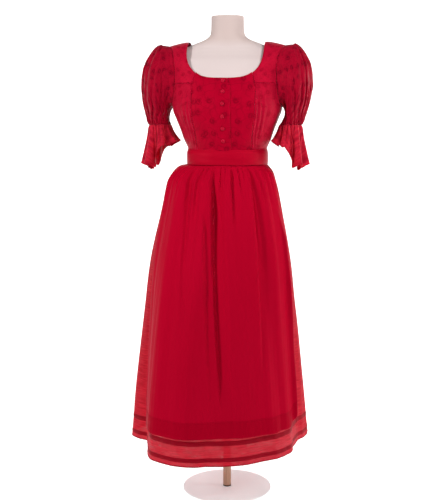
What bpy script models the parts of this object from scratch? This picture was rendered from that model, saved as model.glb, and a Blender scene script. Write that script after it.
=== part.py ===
"""Dirndl with its apron on a limbless dress form. Metres, +Z up, front towards -Y.

The cloth is thin walls worked out from tables of rings and folds. The origin is the middle of the
underside of the form's base. "Right" and "left" in the names are the wearer's, so right is -X.
"""

import math

import bpy
import numpy as np

# Driving dimensions in metres
BODICE_WALL = 0.0014
SKIRT_WALL = 0.0012
SLEEVE_WALL = 0.0012
SEAM = 0.0003
LAP = 0.0022

WAIST_Z = 1.1360
CHEST_TOP_Z = 1.4000
UNDERARM_Z = 1.2960
SHOULDER_ARC = 0.0950
SHOULDER_SPREAD = 0.0260
RIDGE = SHOULDER_ARC * math.pi / 2
ARMHOLE_X = 0.1900

SHOULDER_TOP_Z = 1.5000
NECK_HALF_WIDTH = 0.1220
NECK_TOP_Z = 1.4900
NECK_DROP = 0.1075
NECK_ROUNDNESS = 3.0
FRONT_YOKE_Z = 1.3660
BACK_YOKE_Z = 1.4120
BACK_NECK_X = 0.1040
YOKE_CORNER_X = 0.0880
BACK_NECK_RISE = 0.0600
RIGHT_EDGE_X = 0.0250
RIGHT_EDGE_TOP_X = 0.0140
RIGHT_EDGE_TURN_Z = 1.3350
RIGHT_EDGE_TURN = 0.0480
LEFT_EDGE_X = -0.0140
LAP_START_X = -0.0500
LAP_RUN = 0.0300
SIDE_GATHER = 0.0011

BAND_BOTTOM_Z = 1.1100
BAND_TOP_Z = 1.1590
BAND_SQUARENESS = 2.3

HEM_Z = 0.1850
APRON_HEM_Z = 0.2730
APRON_TOP_Z = BAND_BOTTOM_Z - SEAM
SKIRT_ROWS_Z = (0.2730, 0.4000, 0.5600, 0.7200, 0.8600, 0.9700, 1.0450, 1.0850, 1.1020)
APRON_RIGHT_DEG = -69.0
APRON_LEFT_DEG = 76.0
APRON_CORNER = 0.0550
APRON_CORNER_DEG = 14.0
APRON_STAND_TOP = 0.0048
APRON_STAND_LOW = 0.0105
APRON_STAND_RUN = 0.0500

BUTTON_RADIUS = 0.0060
BUTTON_HEIGHT = 0.0045
BUTTON_GAP = 0.0002
BUTTON_HEIGHTS_Z = (1.3730, 1.3390, 1.3020, 1.2630, 1.2250, 1.1870)

POLE_RADIUS = 0.0135
POLE_FOOT_Z = 0.0080
POLE_TOP_Z = 0.9000
FORM_BOTTOM_Z = 0.8600
BASE_RADIUS = 0.1500
BASE_HEIGHT = 0.0200
BASE_EDGE = 0.0040
FORM_EASE = 0.0038

BOW_Z = 1.1420
BOW_Y = 0.1099
BOW_REACH = 0.0740
KNOT_WALL = 0.0016


def table(names, rows):
    """A short table as one array for each named column."""
    return {name: np.array(column, float) for name, column in zip(names.split(), zip(*rows))}


# The bodice's outside, ring by ring from the waist to the top of the chest
BODICE = table(
    "z half_width front back squareness",
    [
        (1.100, 0.1262, 0.0945, 0.0945, 2.2),
        (1.136, 0.1262, 0.0945, 0.0945, 2.2),
        (1.159, 0.1276, 0.0960, 0.0950, 2.25),
        (1.190, 0.1400, 0.1050, 0.0985, 2.4),
        (1.220, 0.1500, 0.1145, 0.1010, 2.5),
        (1.256, 0.1640, 0.1250, 0.1040, 2.6),
        (1.285, 0.1745, 0.1285, 0.1065, 2.6),
        (1.310, 0.1765, 0.1260, 0.1090, 2.7),
        (1.350, 0.1770, 0.1150, 0.1110, 2.7),
        (1.380, 0.1790, 0.1060, 0.1110, 2.7),
        (1.400, 0.1810, 0.1000, 0.1100, 2.7),
    ],
)

# Height of the shoulder's top line over each distance from the middle
SHOULDER = table(
    "x z",
    [(0.060, 1.508), (0.100, 1.5035), (0.122, 1.500), (0.150, 1.495), (0.190, 1.485), (0.210, 1.478)],
)

# Distance of the princess seam from the middle
PRINCESS = table(
    "z x",
    [(1.130, 0.086), (1.200, 0.090), (1.280, 0.099), (1.340, 0.1005), (1.366, 0.098), (1.400, 0.088)],
)

# The armhole's edge, by the rise along the bodice from the top of the chest
ARMHOLE = table(
    "rise x",
    [
        (UNDERARM_Z - CHEST_TOP_Z, 0.1757),
        (-0.090, 0.1710),
        (-0.060, 0.1655),
        (-0.020, 0.1620),
        (0.030, 0.1635),
        (0.080, 0.1720),
        (0.120, 0.1820),
        (RIDGE, ARMHOLE_X),
    ],
)

# The band's rings: it leans in towards its upper edge
BAND = table(
    "z half_width half_depth",
    [(BAND_BOTTOM_Z, 0.1312, 0.1020), (1.1350, 0.1310, 0.1014), (BAND_TOP_Z, 0.1304, 0.1005)],
)

# The skirt's rings; sway is how far the ring's middle hangs to the wearer's right
SKIRT = table(
    "z half_width front back sway growth",
    [
        (HEM_Z, 0.3080, 0.2680, 0.2750, 0.021, 1.00),
        (0.388, 0.2870, 0.2480, 0.2600, 0.022, 0.86),
        (0.624, 0.2580, 0.2220, 0.2360, 0.022, 0.62),
        (0.795, 0.2360, 0.1950, 0.2100, 0.021, 0.42),
        (0.967, 0.1980, 0.1620, 0.1760, 0.018, 0.20),
        (1.058, 0.1755, 0.1360, 0.1450, 0.0185, 0.08),
        (1.085, 0.1620, 0.1220, 0.1290, 0.0145, 0.03),
        (1.100, 0.1490, 0.1090, 0.1130, 0.0125, 0.00),
        (1.107, 0.1390, 0.1010, 0.1030, 0.0080, 0.00),
        (1.1095, 0.1275, 0.0955, 0.0955, 0.0010, 0.00),
        (1.1355, 0.1262, 0.0945, 0.0945, 0.000, 0.00),
    ],
)

# The hem seen from above: radius over the angle from centre front, positive to the wearer's left
HEM_PLAN_START_DEG = -138.0
HEM_PLAN = table(
    "degrees radius",
    [
        (-124, 0.272), (-110, 0.292), (-100, 0.308), (-90, 0.308), (-82, 0.282), (-76, 0.250),
        (-66, 0.250), (-52, 0.276), (-38, 0.303), (-25, 0.303), (-12, 0.294), (0, 0.272),
        (12, 0.268), (25, 0.264), (38, 0.258), (52, 0.266), (66, 0.266), (80, 0.252),
        (92, 0.257), (104, 0.292), (114, 0.310), (126, 0.290), (138, 0.264), (152, 0.290),
        (166, 0.285), (180, 0.262), (194, 0.288), (208, 0.268), (222, 0.292),
    ],
)  # fmt: skip

# Long folds of the apron: ridges have a positive height, valleys a negative one; lean is how far round
# a fold has moved at the hem
APRON_FOLDS = table(
    "degrees lean half_width waist knee hem",
    [
        (-59, -2, 5, -0.004, -0.002, 0.000),
        (-42, 8, 6, 0.004, 0.003, 0.002),
        (-31, 3, 4, -0.006, -0.004, -0.002),
        (-25, 1, 3, 0.003, 0.001, 0.000),
        (-19, 1, 3, -0.004, 0.000, 0.000),
        (-10, -6, 6, 0.005, 0.006, 0.004),
        (1, 8, 7, -0.009, -0.012, -0.010),
        (12, 2, 4, 0.004, 0.002, 0.001),
        (21, 2, 4, -0.005, -0.001, 0.000),
        (34, 11, 6, 0.005, 0.007, 0.006),
        (45, 9, 6, -0.006, -0.005, -0.004),
        (54, 6, 5, 0.004, 0.003, 0.002),
        (64, 4, 5, -0.004, -0.004, -0.003),
    ],
)

# A sleeve's rings from the armhole to the cuff: its outer and inner lines and its half depth
SLEEVE = table(
    "outer_x outer_z inner_x inner_z half_depth fold",
    [
        (0.1920, 1.4850, 0.1790, 1.2950, 0.066, 0.0005),
        (0.2180, 1.4890, 0.1835, 1.2885, 0.070, 0.0022),
        (0.2510, 1.4550, 0.1865, 1.2805, 0.076, 0.0032),
        (0.2690, 1.4080, 0.1885, 1.2720, 0.077, 0.0036),
        (0.2740, 1.3560, 0.1890, 1.2640, 0.071, 0.0036),
        (0.2690, 1.3100, 0.1880, 1.2560, 0.061, 0.0034),
        (0.2590, 1.2700, 0.1855, 1.2470, 0.050, 0.0028),
        (0.2470, 1.2365, 0.1810, 1.2365, 0.040, 0.0018),
    ],
)
SLEEVE_FOLDS = 12
SLEEVE_SEGMENTS = 48
SLEEVE_SWING = {"right": 0.008, "left": -0.011}
ARMHOLE_GAP = 0.0010

# A ruffle's rings from the seam to its edge
RUFFLE = table(
    "along spread wave",
    [(0.0, 0.0, 0.0018), (0.30, 0.0030, 0.0050), (0.65, 0.0075, 0.0090), (1.0, 0.0125, 0.0120)],
)
RUFFLE_WAVES = 7
RUFFLE_SEGMENTS = 42
RUFFLE_OUTER_LENGTH = 0.1360
RUFFLE_INNER_LENGTH = 0.0620

# The dress form below, inside and above the bodice
FORM_HIPS = table(
    "z half_width front back squareness",
    [
        (FORM_BOTTOM_Z, 0.1380, 0.0980, 0.1000, 2.2),
        (0.875, 0.1500, 0.1060, 0.1100, 2.2),
        (0.930, 0.1580, 0.1110, 0.1200, 2.2),
        (1.000, 0.1540, 0.1060, 0.1160, 2.2),
        (1.060, 0.1380, 0.0960, 0.1010, 2.2),
    ],
)
FORM_SHOULDERS = table(
    "z half_width front back squareness",
    [
        (1.4380, 0.1740, 0.0780, 0.0870, 2.6),
        (1.4560, 0.1700, 0.0640, 0.0720, 2.4),
        (1.4700, 0.1580, 0.0560, 0.0620, 2.2),
        (1.4810, 0.1320, 0.0530, 0.0580, 2.0),
        (1.4900, 0.1110, 0.0525, 0.0570, 2.0),
        (1.4980, 0.0900, 0.0520, 0.0560, 2.0),
        (1.5070, 0.0690, 0.0515, 0.0550, 2.0),
        (1.5190, 0.0560, 0.0505, 0.0530, 2.0),
        (1.5350, 0.0525, 0.0500, 0.0510, 2.0),
        (1.5780, 0.0515, 0.0500, 0.0500, 2.0),
    ],
)


def smooth(columns, key, name, at):
    """A table's column read between its rows, without overshooting them."""
    order = np.argsort(columns[key])
    place, value = columns[key][order], columns[name][order]
    step = np.diff(value) / np.diff(place)
    product = step[:-1] * step[1:]
    total = np.where(np.abs(step[:-1] + step[1:]) < 1e-12, 1.0, step[:-1] + step[1:])
    slope = np.concatenate([step[:1], np.where(product > 0, 2 * product / total, 0.0), step[-1:]])
    at = np.clip(np.asarray(at, float), place[0], place[-1])
    i = np.clip(np.searchsorted(place, at) - 1, 0, len(place) - 2)
    width = place[i + 1] - place[i]
    t = (at - place[i]) / width
    return (
        value[i] * (1 + 2 * t) * (1 - t) ** 2
        + slope[i] * width * t * (1 - t) ** 2
        + value[i + 1] * t * t * (3 - 2 * t)
        + slope[i + 1] * width * t * t * (t - 1)
    )


def ring(half_width, front, back, squareness, angle):
    """A rounded ring's x and y; angle 0 is centre front and a quarter turn is the wearer's left."""
    sine, cosine = np.sin(angle), np.cos(angle)
    power = 2 / squareness
    depth = np.where(cosine > 0, front, back)
    x = half_width * np.sign(sine) * np.abs(sine) ** power
    return x, -depth * np.sign(cosine) * np.abs(cosine) ** power


def bodice_z(rise):
    return CHEST_TOP_Z + np.minimum(rise, 0)


def bodice_half_width(rise):
    turn = np.clip(rise, 0, RIDGE) / SHOULDER_ARC
    return smooth(BODICE, "z", "half_width", bodice_z(rise)) + SHOULDER_SPREAD * np.sin(turn)


def bodice_point(x, rise, facing):
    """A point of the bodice's outside at x, after a rise along it; facing is -1 in front, 1 behind."""
    turn = np.clip(rise, 0, RIDGE) / SHOULDER_ARC
    z = bodice_z(rise)
    squareness = smooth(BODICE, "z", "squareness", z)
    side = "front" if facing < 0 else "back"
    depth = smooth(BODICE, "z", side, z) * np.cos(turn)
    share = np.clip(np.abs(x) / bodice_half_width(rise), 0, 1)
    y = facing * depth * (1 - share**squareness) ** (1 / squareness)
    top = smooth(SHOULDER, "x", "z", np.abs(x))
    return np.stack([x + 0 * z, y, z + (top - CHEST_TOP_Z) * np.sin(turn)], axis=-1)


def rise_of(z):
    """The rise that reaches a height, on the shoulder's slope above the chest."""
    above = np.clip((np.asarray(z, float) - CHEST_TOP_Z) / (SHOULDER_TOP_Z - CHEST_TOP_Z), 0, 1)
    return np.where(z < CHEST_TOP_Z, z - CHEST_TOP_Z, SHOULDER_ARC * np.arcsin(above))


def neckline_x(z):
    down = np.clip((NECK_TOP_Z - z) / NECK_DROP, 0, 1)
    return NECK_HALF_WIDTH * (1 - down**NECK_ROUNDNESS) ** (1 / NECK_ROUNDNESS)


def neckline_z(x):
    share = np.clip(np.abs(x) / NECK_HALF_WIDTH, 0, 1)
    return NECK_TOP_Z - NECK_DROP * (1 - share**NECK_ROUNDNESS) ** (1 / NECK_ROUNDNESS)


def outward(grid, tube, sense):
    """Unit normals of a grid whose rows go up and whose columns go round."""
    if tube:
        around = np.roll(grid, -1, axis=1) - np.roll(grid, 1, axis=1)
    else:
        around = np.gradient(grid, axis=1)
    normal = sense * np.cross(around, np.gradient(grid, axis=0))
    return normal / np.maximum(np.linalg.norm(normal, axis=-1, keepdims=True), 1e-12)


def material(name, colour, roughness):
    made = bpy.data.materials.get(name) or bpy.data.materials.new(name)
    made.use_nodes = True
    shader = made.node_tree.nodes["Principled BSDF"]
    shader.inputs["Base Color"].default_value = (*colour, 1.0)
    shader.inputs["Roughness"].default_value = roughness
    shader.inputs["Metallic"].default_value = 0.0
    made.diffuse_color = (*colour, 1.0)
    return made


def place(name, points, faces, finish):
    mesh = bpy.data.meshes.new(name)
    mesh.from_pydata(points.tolist(), [], faces)
    mesh.materials.append(finish)
    mesh.shade_smooth()
    mesh.update()
    made = bpy.data.objects.new(name, mesh)
    bpy.context.scene.collection.objects.link(made)
    return made


def wall(name, outer, thickness, finish, tube=False, sense=1):
    """A cloth wall: the outer grid, the same moved in along its normals, and the rims between."""
    inner = outer - thickness * outward(outer, tube, sense)
    rows, columns = outer.shape[:2]
    index = np.arange(rows * columns).reshape(rows, columns)
    if tube:
        index = np.concatenate([index, index[:, :1]], axis=1)
    a, b, c, d = index[:-1, :-1], index[:-1, 1:], index[1:, 1:], index[1:, :-1]
    shift = rows * columns
    faces = [np.stack([a, b, c, d], -1).reshape(-1, 4)]
    faces.append(np.stack([d, c, b, a], -1).reshape(-1, 4) + shift)
    low, high = index[0], index[-1]
    faces.append(np.stack([low[1:], low[:-1], low[:-1] + shift, low[1:] + shift], -1))
    faces.append(np.stack([high[:-1], high[1:], high[1:] + shift, high[:-1] + shift], -1))
    if not tube:
        first, last = index[:, 0], index[:, -1]
        faces.append(np.stack([first[:-1], first[1:], first[1:] + shift, first[:-1] + shift], -1))
        faces.append(np.stack([last[1:], last[:-1], last[:-1] + shift, last[1:] + shift], -1))
    faces = np.concatenate(faces)
    if sense < 0:
        faces = faces[:, ::-1]
    points = np.concatenate([outer.reshape(-1, 3), inner.reshape(-1, 3)])
    return place(name, points, faces.tolist(), finish)


def closed_stack(name, rings, finish):
    """A solid through rings of equal length from bottom to top, its two ends closed flat."""
    rows, columns = rings.shape[:2]
    index = np.arange(rows * columns).reshape(rows, columns)
    index = np.concatenate([index, index[:, :1]], axis=1)
    a, b, c, d = index[:-1, :-1], index[:-1, 1:], index[1:, 1:], index[1:, :-1]
    faces = np.stack([a, b, c, d], -1).reshape(-1, 4).tolist()
    faces.append(index[0, :-1][::-1].tolist())
    faces.append(index[-1, :-1].tolist())
    return place(name, rings.reshape(-1, 3), faces, finish)


def turned(profile, segments):
    """Rings round the Z axis for each radius and height of a profile."""
    angle = np.linspace(0, 2 * math.pi, segments, endpoint=False)
    radius, z = np.array(profile, float).T
    x = radius[:, None] * np.sin(angle)
    y = -radius[:, None] * np.cos(angle)
    return np.stack([x, y, z[:, None] + 0 * x], axis=-1)


def form_rings(segments=24):
    """The form's rings from the hips, through the bodice's own rings, to the neck."""
    angle = np.linspace(0, 2 * math.pi, segments, endpoint=False)
    inside = BODICE_WALL + FORM_EASE
    rows = [[FORM_HIPS[k][i] for k in FORM_HIPS] for i in range(len(FORM_HIPS["z"]))]
    for i, z in enumerate(BODICE["z"]):
        sizes = [BODICE[k][i] - inside for k in ("half_width", "front", "back")]
        rows.append([z, *sizes, BODICE["squareness"][i]])
    rows += [[FORM_SHOULDERS[k][i] for k in FORM_SHOULDERS] for i in range(len(FORM_SHOULDERS["z"]))]
    rings = []
    for z, half_width, front, back, squareness in rows:
        x, y = ring(half_width, front, back, squareness, angle)
        rings.append(np.stack([x, y, z + 0 * x], axis=-1))
    return np.array(rings)


def make_form():
    shell = material("form_white", (0.80, 0.69, 0.66), 0.55)
    wood = material("pole_wood", (0.45, 0.24, 0.14), 0.45)
    white = material("base_white", (0.85, 0.85, 0.85), 0.40)
    rings = form_rings()
    hole = POLE_RADIUS + SEAM
    socket = turned([(hole, POLE_TOP_Z + SEAM), (hole, FORM_BOTTOM_Z)], rings.shape[1])
    closed_stack("form_torso", np.concatenate([socket, rings]), shell)
    closed_stack(
        "form_pole",
        turned([(POLE_RADIUS, POLE_FOOT_Z + SEAM), (POLE_RADIUS, POLE_TOP_Z)], 20),
        wood,
    )
    profile = [
        (BASE_RADIUS - BASE_EDGE, 0.0),
        (BASE_RADIUS, BASE_EDGE),
        (BASE_RADIUS, BASE_HEIGHT - BASE_EDGE),
        (BASE_RADIUS - BASE_EDGE, BASE_HEIGHT),
        (hole, BASE_HEIGHT),
        (hole, POLE_FOOT_Z),
    ]
    closed_stack("form_base", turned(profile, 32), white)


def side_edge(rise):
    """How far out the bodice reaches: to the side seam, and above the underarm to the armhole."""
    widest = bodice_half_width(rise)
    armhole = np.minimum(smooth(ARMHOLE, "rise", "x", rise), widest)
    return np.where(rise < UNDERARM_Z - CHEST_TOP_Z, widest, armhole)


def front_centre(name, left_x, right_x, lap, finish):
    """A centre front between two edges, given as functions of height; lap lifts the one on top."""
    across = np.linspace(0, 1, 8)
    up = np.linspace(0, 1, 9)[:, None]
    top_x = left_x(1.390) + (right_x(1.390) - left_x(1.390)) * across
    z = WAIST_Z + (neckline_z(top_x) - WAIST_Z) * up
    x = left_x(z) + (right_x(z) - left_x(z)) * across
    points = bodice_point(x, z - CHEST_TOP_Z, -1)
    lift = lap * np.clip((x - LAP_START_X) / LAP_RUN, 0, 1)
    points[..., 1] -= lift
    return wall(name, points, BODICE_WALL, finish)


def side_front(name, hand, finish):
    """A side front from the princess seam to the side seam, with its shallow gathers."""
    columns = 15
    z = np.linspace(WAIST_Z, FRONT_YOKE_Z - SEAM, 9)[:, None]
    rise = z - CHEST_TOP_Z
    inner = smooth(PRINCESS, "z", "x", z) + 2 * SEAM
    outer = side_edge(rise)
    share = np.linspace(0, 1, columns) ** 0.85
    x = inner + (outer - inner) * share
    if hand < 0:
        x = x[:, ::-1]
    points = bodice_point(hand * x, rise + 0 * x, -1)
    gather = np.cos(np.arange(columns) * math.pi / 2) * np.sin(np.linspace(0, math.pi, columns))
    points = points + outward(points, False, 1) * (SIDE_GATHER * gather)[None, :, None]
    points[..., 1] -= SEAM
    return wall(name, points, BODICE_WALL, finish)


def yoke(name, hand, finish):
    """A shoulder yoke: rows from the front yoke seam over the shoulder to the back yoke seam."""
    front_start = FRONT_YOKE_Z + SEAM - CHEST_TOP_Z
    back_end = float(rise_of(BACK_YOKE_Z)) + SEAM
    front_rise = np.linspace(front_start, RIDGE, 8)
    back_rise = np.linspace(RIDGE, back_end, 7)[1:]
    rows = []
    for rise, facing in [(r, -1) for r in front_rise] + [(r, 1) for r in back_rise]:
        slope = (SHOULDER_TOP_Z - CHEST_TOP_Z) * math.sin(max(rise, 0) / SHOULDER_ARC)
        z = CHEST_TOP_Z + min(rise, 0) + slope
        if facing > 0:
            share = min(1.0, (z - BACK_YOKE_Z) / BACK_NECK_RISE) ** 0.5
            inner = BACK_NECK_X + (NECK_HALF_WIDTH - BACK_NECK_X) * share
        elif z < neckline_z(YOKE_CORNER_X):
            inner = float(smooth(PRINCESS, "z", "x", z)) + SEAM
        else:
            inner = float(neckline_x(z))
        x = np.linspace(inner, float(smooth(ARMHOLE, "rise", "x", rise)), 6)
        rows.append(bodice_point(hand * x, rise + 0 * x, facing))
    points = np.array(rows)
    if hand < 0:
        points = points[:, ::-1]
    return wall(name, points, BODICE_WALL, finish)


def bodice_back(name, finish):
    """The back: rows from the waist to the back yoke seam and the straight back neckline."""
    underarm = UNDERARM_Z - CHEST_TOP_Z
    low = np.linspace(WAIST_Z - CHEST_TOP_Z, underarm, 6)[:-1]
    high = np.linspace(underarm, float(rise_of(BACK_YOKE_Z)) - SEAM, 5)
    rise = np.concatenate([low, high])[:, None]
    x = -side_edge(rise) * np.sin(np.linspace(-1, 1, 19) * math.pi / 2)
    points = bodice_point(x, rise + 0 * x, 1)
    points[..., 1] += SEAM
    return wall(name, points, BODICE_WALL, finish)


def button(name, z, finish):
    """A domed button that sits on the lapped front and leans as the front does."""
    seat = [bodice_point(np.array(0.0), np.array(h - CHEST_TOP_Z), -1) for h in (z - 0.004, z, z + 0.004)]
    slope = math.atan2(seat[2][1] - seat[0][1], seat[2][2] - seat[0][2])
    out = np.array([0.0, -math.cos(slope), math.sin(slope)])
    up = np.array([0.0, math.sin(slope), math.cos(slope)])
    centre = seat[1] - np.array([0.0, LAP, 0.0]) + out * BUTTON_GAP
    angle = np.linspace(0, 2 * math.pi, 12, endpoint=False)
    rows = []
    for share, height in ((0.80, 0.0), (1.0, 0.30), (0.82, 0.72), (0.40, 0.97)):
        radius = BUTTON_RADIUS * share
        across = np.stack([radius * np.cos(angle), 0 * angle, 0 * angle], axis=-1)
        rows.append(centre + out * BUTTON_HEIGHT * height + across + radius * np.sin(angle)[:, None] * up)
    return closed_stack(name, np.array(rows), finish)


def make_bodice():
    red = material("bodice_jacquard", (0.42, 0.003, 0.020), 0.45)
    cover = material("button_cloth", (0.45, 0.010, 0.030), 0.40)

    def seam_right(z):
        return SEAM - smooth(PRINCESS, "z", "x", z)

    def seam_left(z):
        return smooth(PRINCESS, "z", "x", z) - SEAM

    def edge_right(z):
        share = np.clip((np.asarray(z, float) - RIGHT_EDGE_TURN_Z) / RIGHT_EDGE_TURN, 0, 1)
        return RIGHT_EDGE_X + (RIGHT_EDGE_TOP_X - RIGHT_EDGE_X) * share**2

    def edge_left(z):
        return LEFT_EDGE_X + 0 * np.asarray(z, float)

    front_centre("bodice_front_right", seam_right, edge_right, LAP, red)
    front_centre("bodice_front_left", edge_left, seam_left, 0.0, red)
    for name, hand in (("right", -1), ("left", 1)):
        side_front("side_front_" + name, hand, red)
        yoke("yoke_" + name, hand, red)
    bodice_back("bodice_back", red)
    for number, z in enumerate(BUTTON_HEIGHTS_Z, start=1):
        button(f"button_{number}", z, cover)


def armhole_loop(segments):
    """The armhole's edge as even steps: over the shoulder's top, down behind, up in front."""
    bottom = UNDERARM_Z - CHEST_TOP_Z
    turn = np.linspace(0, math.pi, 120)
    rise = bottom + (RIDGE - bottom) * (1 + np.cos(turn)) / 2
    x = side_edge(rise)
    behind = bodice_point(x, rise, 1)
    before = bodice_point(x, rise, -1)[::-1]
    loop = np.concatenate([behind, before[1:-1]])
    step = np.linalg.norm(np.diff(np.concatenate([loop, loop[:1]]), axis=0), axis=1)
    length = np.concatenate([[0], np.cumsum(step)])
    at = np.linspace(0, length[-1], segments, endpoint=False)
    ends = np.concatenate([loop, loop[:1]])
    return np.stack([np.interp(at, length, ends[:, k]) for k in range(3)], axis=-1)


def sleeve_rings(segments):
    """The wearer's left sleeve before its swing; angle 0 is the outer line and a quarter is behind."""
    angle = np.linspace(0, 2 * math.pi, segments, endpoint=False)
    first = armhole_loop(segments) + np.array([ARMHOLE_GAP, 0.0, 0.0])
    rings = []
    for i in range(len(SLEEVE["fold"])):
        row = {key: SLEEVE[key][i] for key in SLEEVE}
        outer = np.array([row["outer_x"], 0.0, row["outer_z"]])
        inner = np.array([row["inner_x"], 0.0, row["inner_z"]])
        spread = (outer - inner) / 2
        oval = (outer + inner) / 2 + np.cos(angle)[:, None] * spread
        oval = oval + np.sin(angle)[:, None] * np.array([0.0, row["half_depth"], 0.0])
        if i == 0:
            oval = first
        if i == 1:
            head = first + np.array([0.020, 0.0, 0.002]) * (1 + np.cos(angle))[:, None] / 2
            oval = 0.45 * head + 0.55 * oval
        out = oval - (outer + inner) / 2
        out = out / np.linalg.norm(out, axis=1, keepdims=True)
        strength = row["fold"] * (0.30 + 0.70 * (1 + np.cos(angle)) / 2)
        fold = np.cos(SLEEVE_FOLDS * angle) * (1 + 0.30 * np.sin(3 * angle + 0.5))
        rings.append(oval + out * (strength * fold)[:, None])
    return np.array(rings)


def swing(points, name, share):
    """Hangs a sleeve's rings a little out or in, and puts the wearer's right one on -X."""
    points = points.copy()
    points[..., 0] += SLEEVE_SWING[name] * share
    if name == "right":
        points[..., 0] *= -1
    return points


def ruffle_rings():
    """The wearer's left ruffle: it starts at the sleeve's lower ring and spreads in waves."""
    angle = np.linspace(0, 2 * math.pi, RUFFLE_SEGMENTS, endpoint=False)
    row = {key: SLEEVE[key][-1] for key in SLEEVE}
    middle = (row["outer_x"] + row["inner_x"]) / 2
    half_width = (row["outer_x"] - row["inner_x"]) / 2
    outer_share = np.clip(((1 + np.cos(angle)) / 2 - 0.15) / 0.70, 0, 1)
    outer_share = outer_share**2 * (3 - 2 * outer_share)
    length = RUFFLE_INNER_LENGTH + (RUFFLE_OUTER_LENGTH - RUFFLE_INNER_LENGTH) * outer_share
    rings = []
    for along, spread, wave in zip(RUFFLE["along"], RUFFLE["spread"], RUFFLE["wave"]):
        ripple = wave * np.cos(RUFFLE_WAVES * angle + 0.6 * np.sin(2 * angle))
        reach = spread * (1 - 0.25 * np.cos(angle)) + ripple
        x = middle + (half_width + reach) * np.cos(angle)
        y = (row["half_depth"] + reach) * np.sin(angle)
        z = row["outer_z"] - 0.0008 - along * length + 0.35 * ripple * along
        rings.append(np.stack([x, y, z], axis=-1))
    return np.array(rings)


def make_sleeves():
    red = material("sleeve_jacquard", (0.42, 0.003, 0.020), 0.45)
    frill = material("ruffle_cloth", (0.48, 0.004, 0.022), 0.55)
    for name in ("right", "left"):
        sense = 1 if name == "right" else -1
        rings = sleeve_rings(SLEEVE_SEGMENTS)
        rings = swing(rings, name, np.linspace(0, 1, len(rings))[:, None] ** 1.5)
        wall("sleeve_" + name, rings, SLEEVE_WALL, red, True, sense)
        edge = swing(ruffle_rings(), name, 1.0)
        wall("sleeve_ruffle_" + name, edge, SLEEVE_WALL, frill, True, sense)


def hem_ratio(degrees):
    """The hem's plan over the hem's plain ring, so that the folds can grow from the waist down."""
    turned_by = np.asarray(degrees, float) - HEM_PLAN_START_DEG
    wrapped = turned_by % 360 + HEM_PLAN_START_DEG
    ends = {
        "degrees": np.concatenate([[HEM_PLAN_START_DEG], HEM_PLAN["degrees"]]),
        "radius": np.concatenate([HEM_PLAN["radius"][-1:], HEM_PLAN["radius"]]),
    }
    return smooth(ends, "degrees", "radius", wrapped) / plain_radius(degrees, HEM_Z)


def plain_radius(degrees, z):
    """The skirt's radius without folds."""
    angle = np.radians(degrees)
    half_width = smooth(SKIRT, "z", "half_width", z)
    front, back = (smooth(SKIRT, "z", side, z) for side in ("front", "back"))
    depth = np.where(np.cos(angle) > 0, front, back)
    power = 2.2
    total = np.abs(np.sin(angle) / half_width) ** power + np.abs(np.cos(angle) / depth) ** power
    return total ** (-1 / power)


def skirt_radius(degrees, z):
    """The skirt's radius with the long folds that end in the hem's plan."""
    return plain_radius(degrees, z) * (1 + smooth(SKIRT, "z", "growth", z) * (hem_ratio(degrees) - 1))


def skirt_grid(degrees, z, add):
    angle = np.radians(degrees)
    radius = skirt_radius(degrees, z) + add
    x = radius * np.sin(angle) - smooth(SKIRT, "z", "sway", z)
    return np.stack([x, -radius * np.cos(angle), z + 0 * x], axis=-1)


def gathers(degrees, z, count, span, height):
    """Small gathers that are strongest just below the waist and gone at the hips."""
    below = APRON_TOP_Z - z
    fade = np.clip(0.12 + below / 0.030, 0, 1) * np.clip(1 - below / 0.300, 0, 1) ** 1.5
    phase = degrees * count / span * 2 * math.pi
    return height * fade * np.cos(phase) * (1 + 0.3 * np.sin(phase / 3.7))


def apron_folds(degrees, z):
    """The sum of the apron's long ridges and valleys at a height."""
    below = np.clip((APRON_TOP_Z - z) / 0.080, 0, 1)
    total = 0 * degrees * z
    down = np.clip((1.000 - z) / (1.000 - APRON_HEM_Z), 0, 1)
    for i in range(len(APRON_FOLDS["hem"])):
        waist, knee, hem = (APRON_FOLDS[key][i] for key in ("waist", "knee", "hem"))
        upper = waist + (knee - waist) * np.clip(down * 2, 0, 1)
        height = upper + (hem - knee) * np.clip(down * 2 - 1, 0, 1)
        at = APRON_FOLDS["degrees"][i] + APRON_FOLDS["lean"][i] * down
        away = (degrees - at) / APRON_FOLDS["half_width"][i]
        total = total + below * height * np.exp(-(away**2))
    return total


def make_skirt():
    red = material("skirt_cloth", (0.46, 0.004, 0.024), 0.60)
    top = (APRON_TOP_Z, WAIST_Z - 2 * SEAM)
    z = np.array([HEM_Z, *SKIRT_ROWS_Z, *top])[:, None]
    front = np.linspace(-90, 90, 33)[None, :]
    seam_degrees = 0.15
    points = skirt_grid(front * (90 - seam_degrees) / 90, z, gathers(front, z, 10, 180, 0.0008))
    wall("skirt_front", points, SKIRT_WALL, red)
    z = np.array([HEM_Z, SKIRT_ROWS_Z[0], *SKIRT_ROWS_Z[2:7], *SKIRT_ROWS_Z[8:], *top])[:, None]
    back = np.linspace(90 + seam_degrees, 270 - seam_degrees, 53)[None, :]
    points = skirt_grid(back, z, gathers(back - 90, z, 13, 180, 0.0022))
    wall("skirt_back", points, SKIRT_WALL, red)


def apron_outline(degrees):
    """The apron's lower edge, level with rounded corners."""
    side = np.minimum(degrees - APRON_RIGHT_DEG, APRON_LEFT_DEG - degrees)
    corner = np.clip(1 - side / APRON_CORNER_DEG, 0, 1)
    return APRON_HEM_Z + APRON_CORNER * corner**2.5


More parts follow.
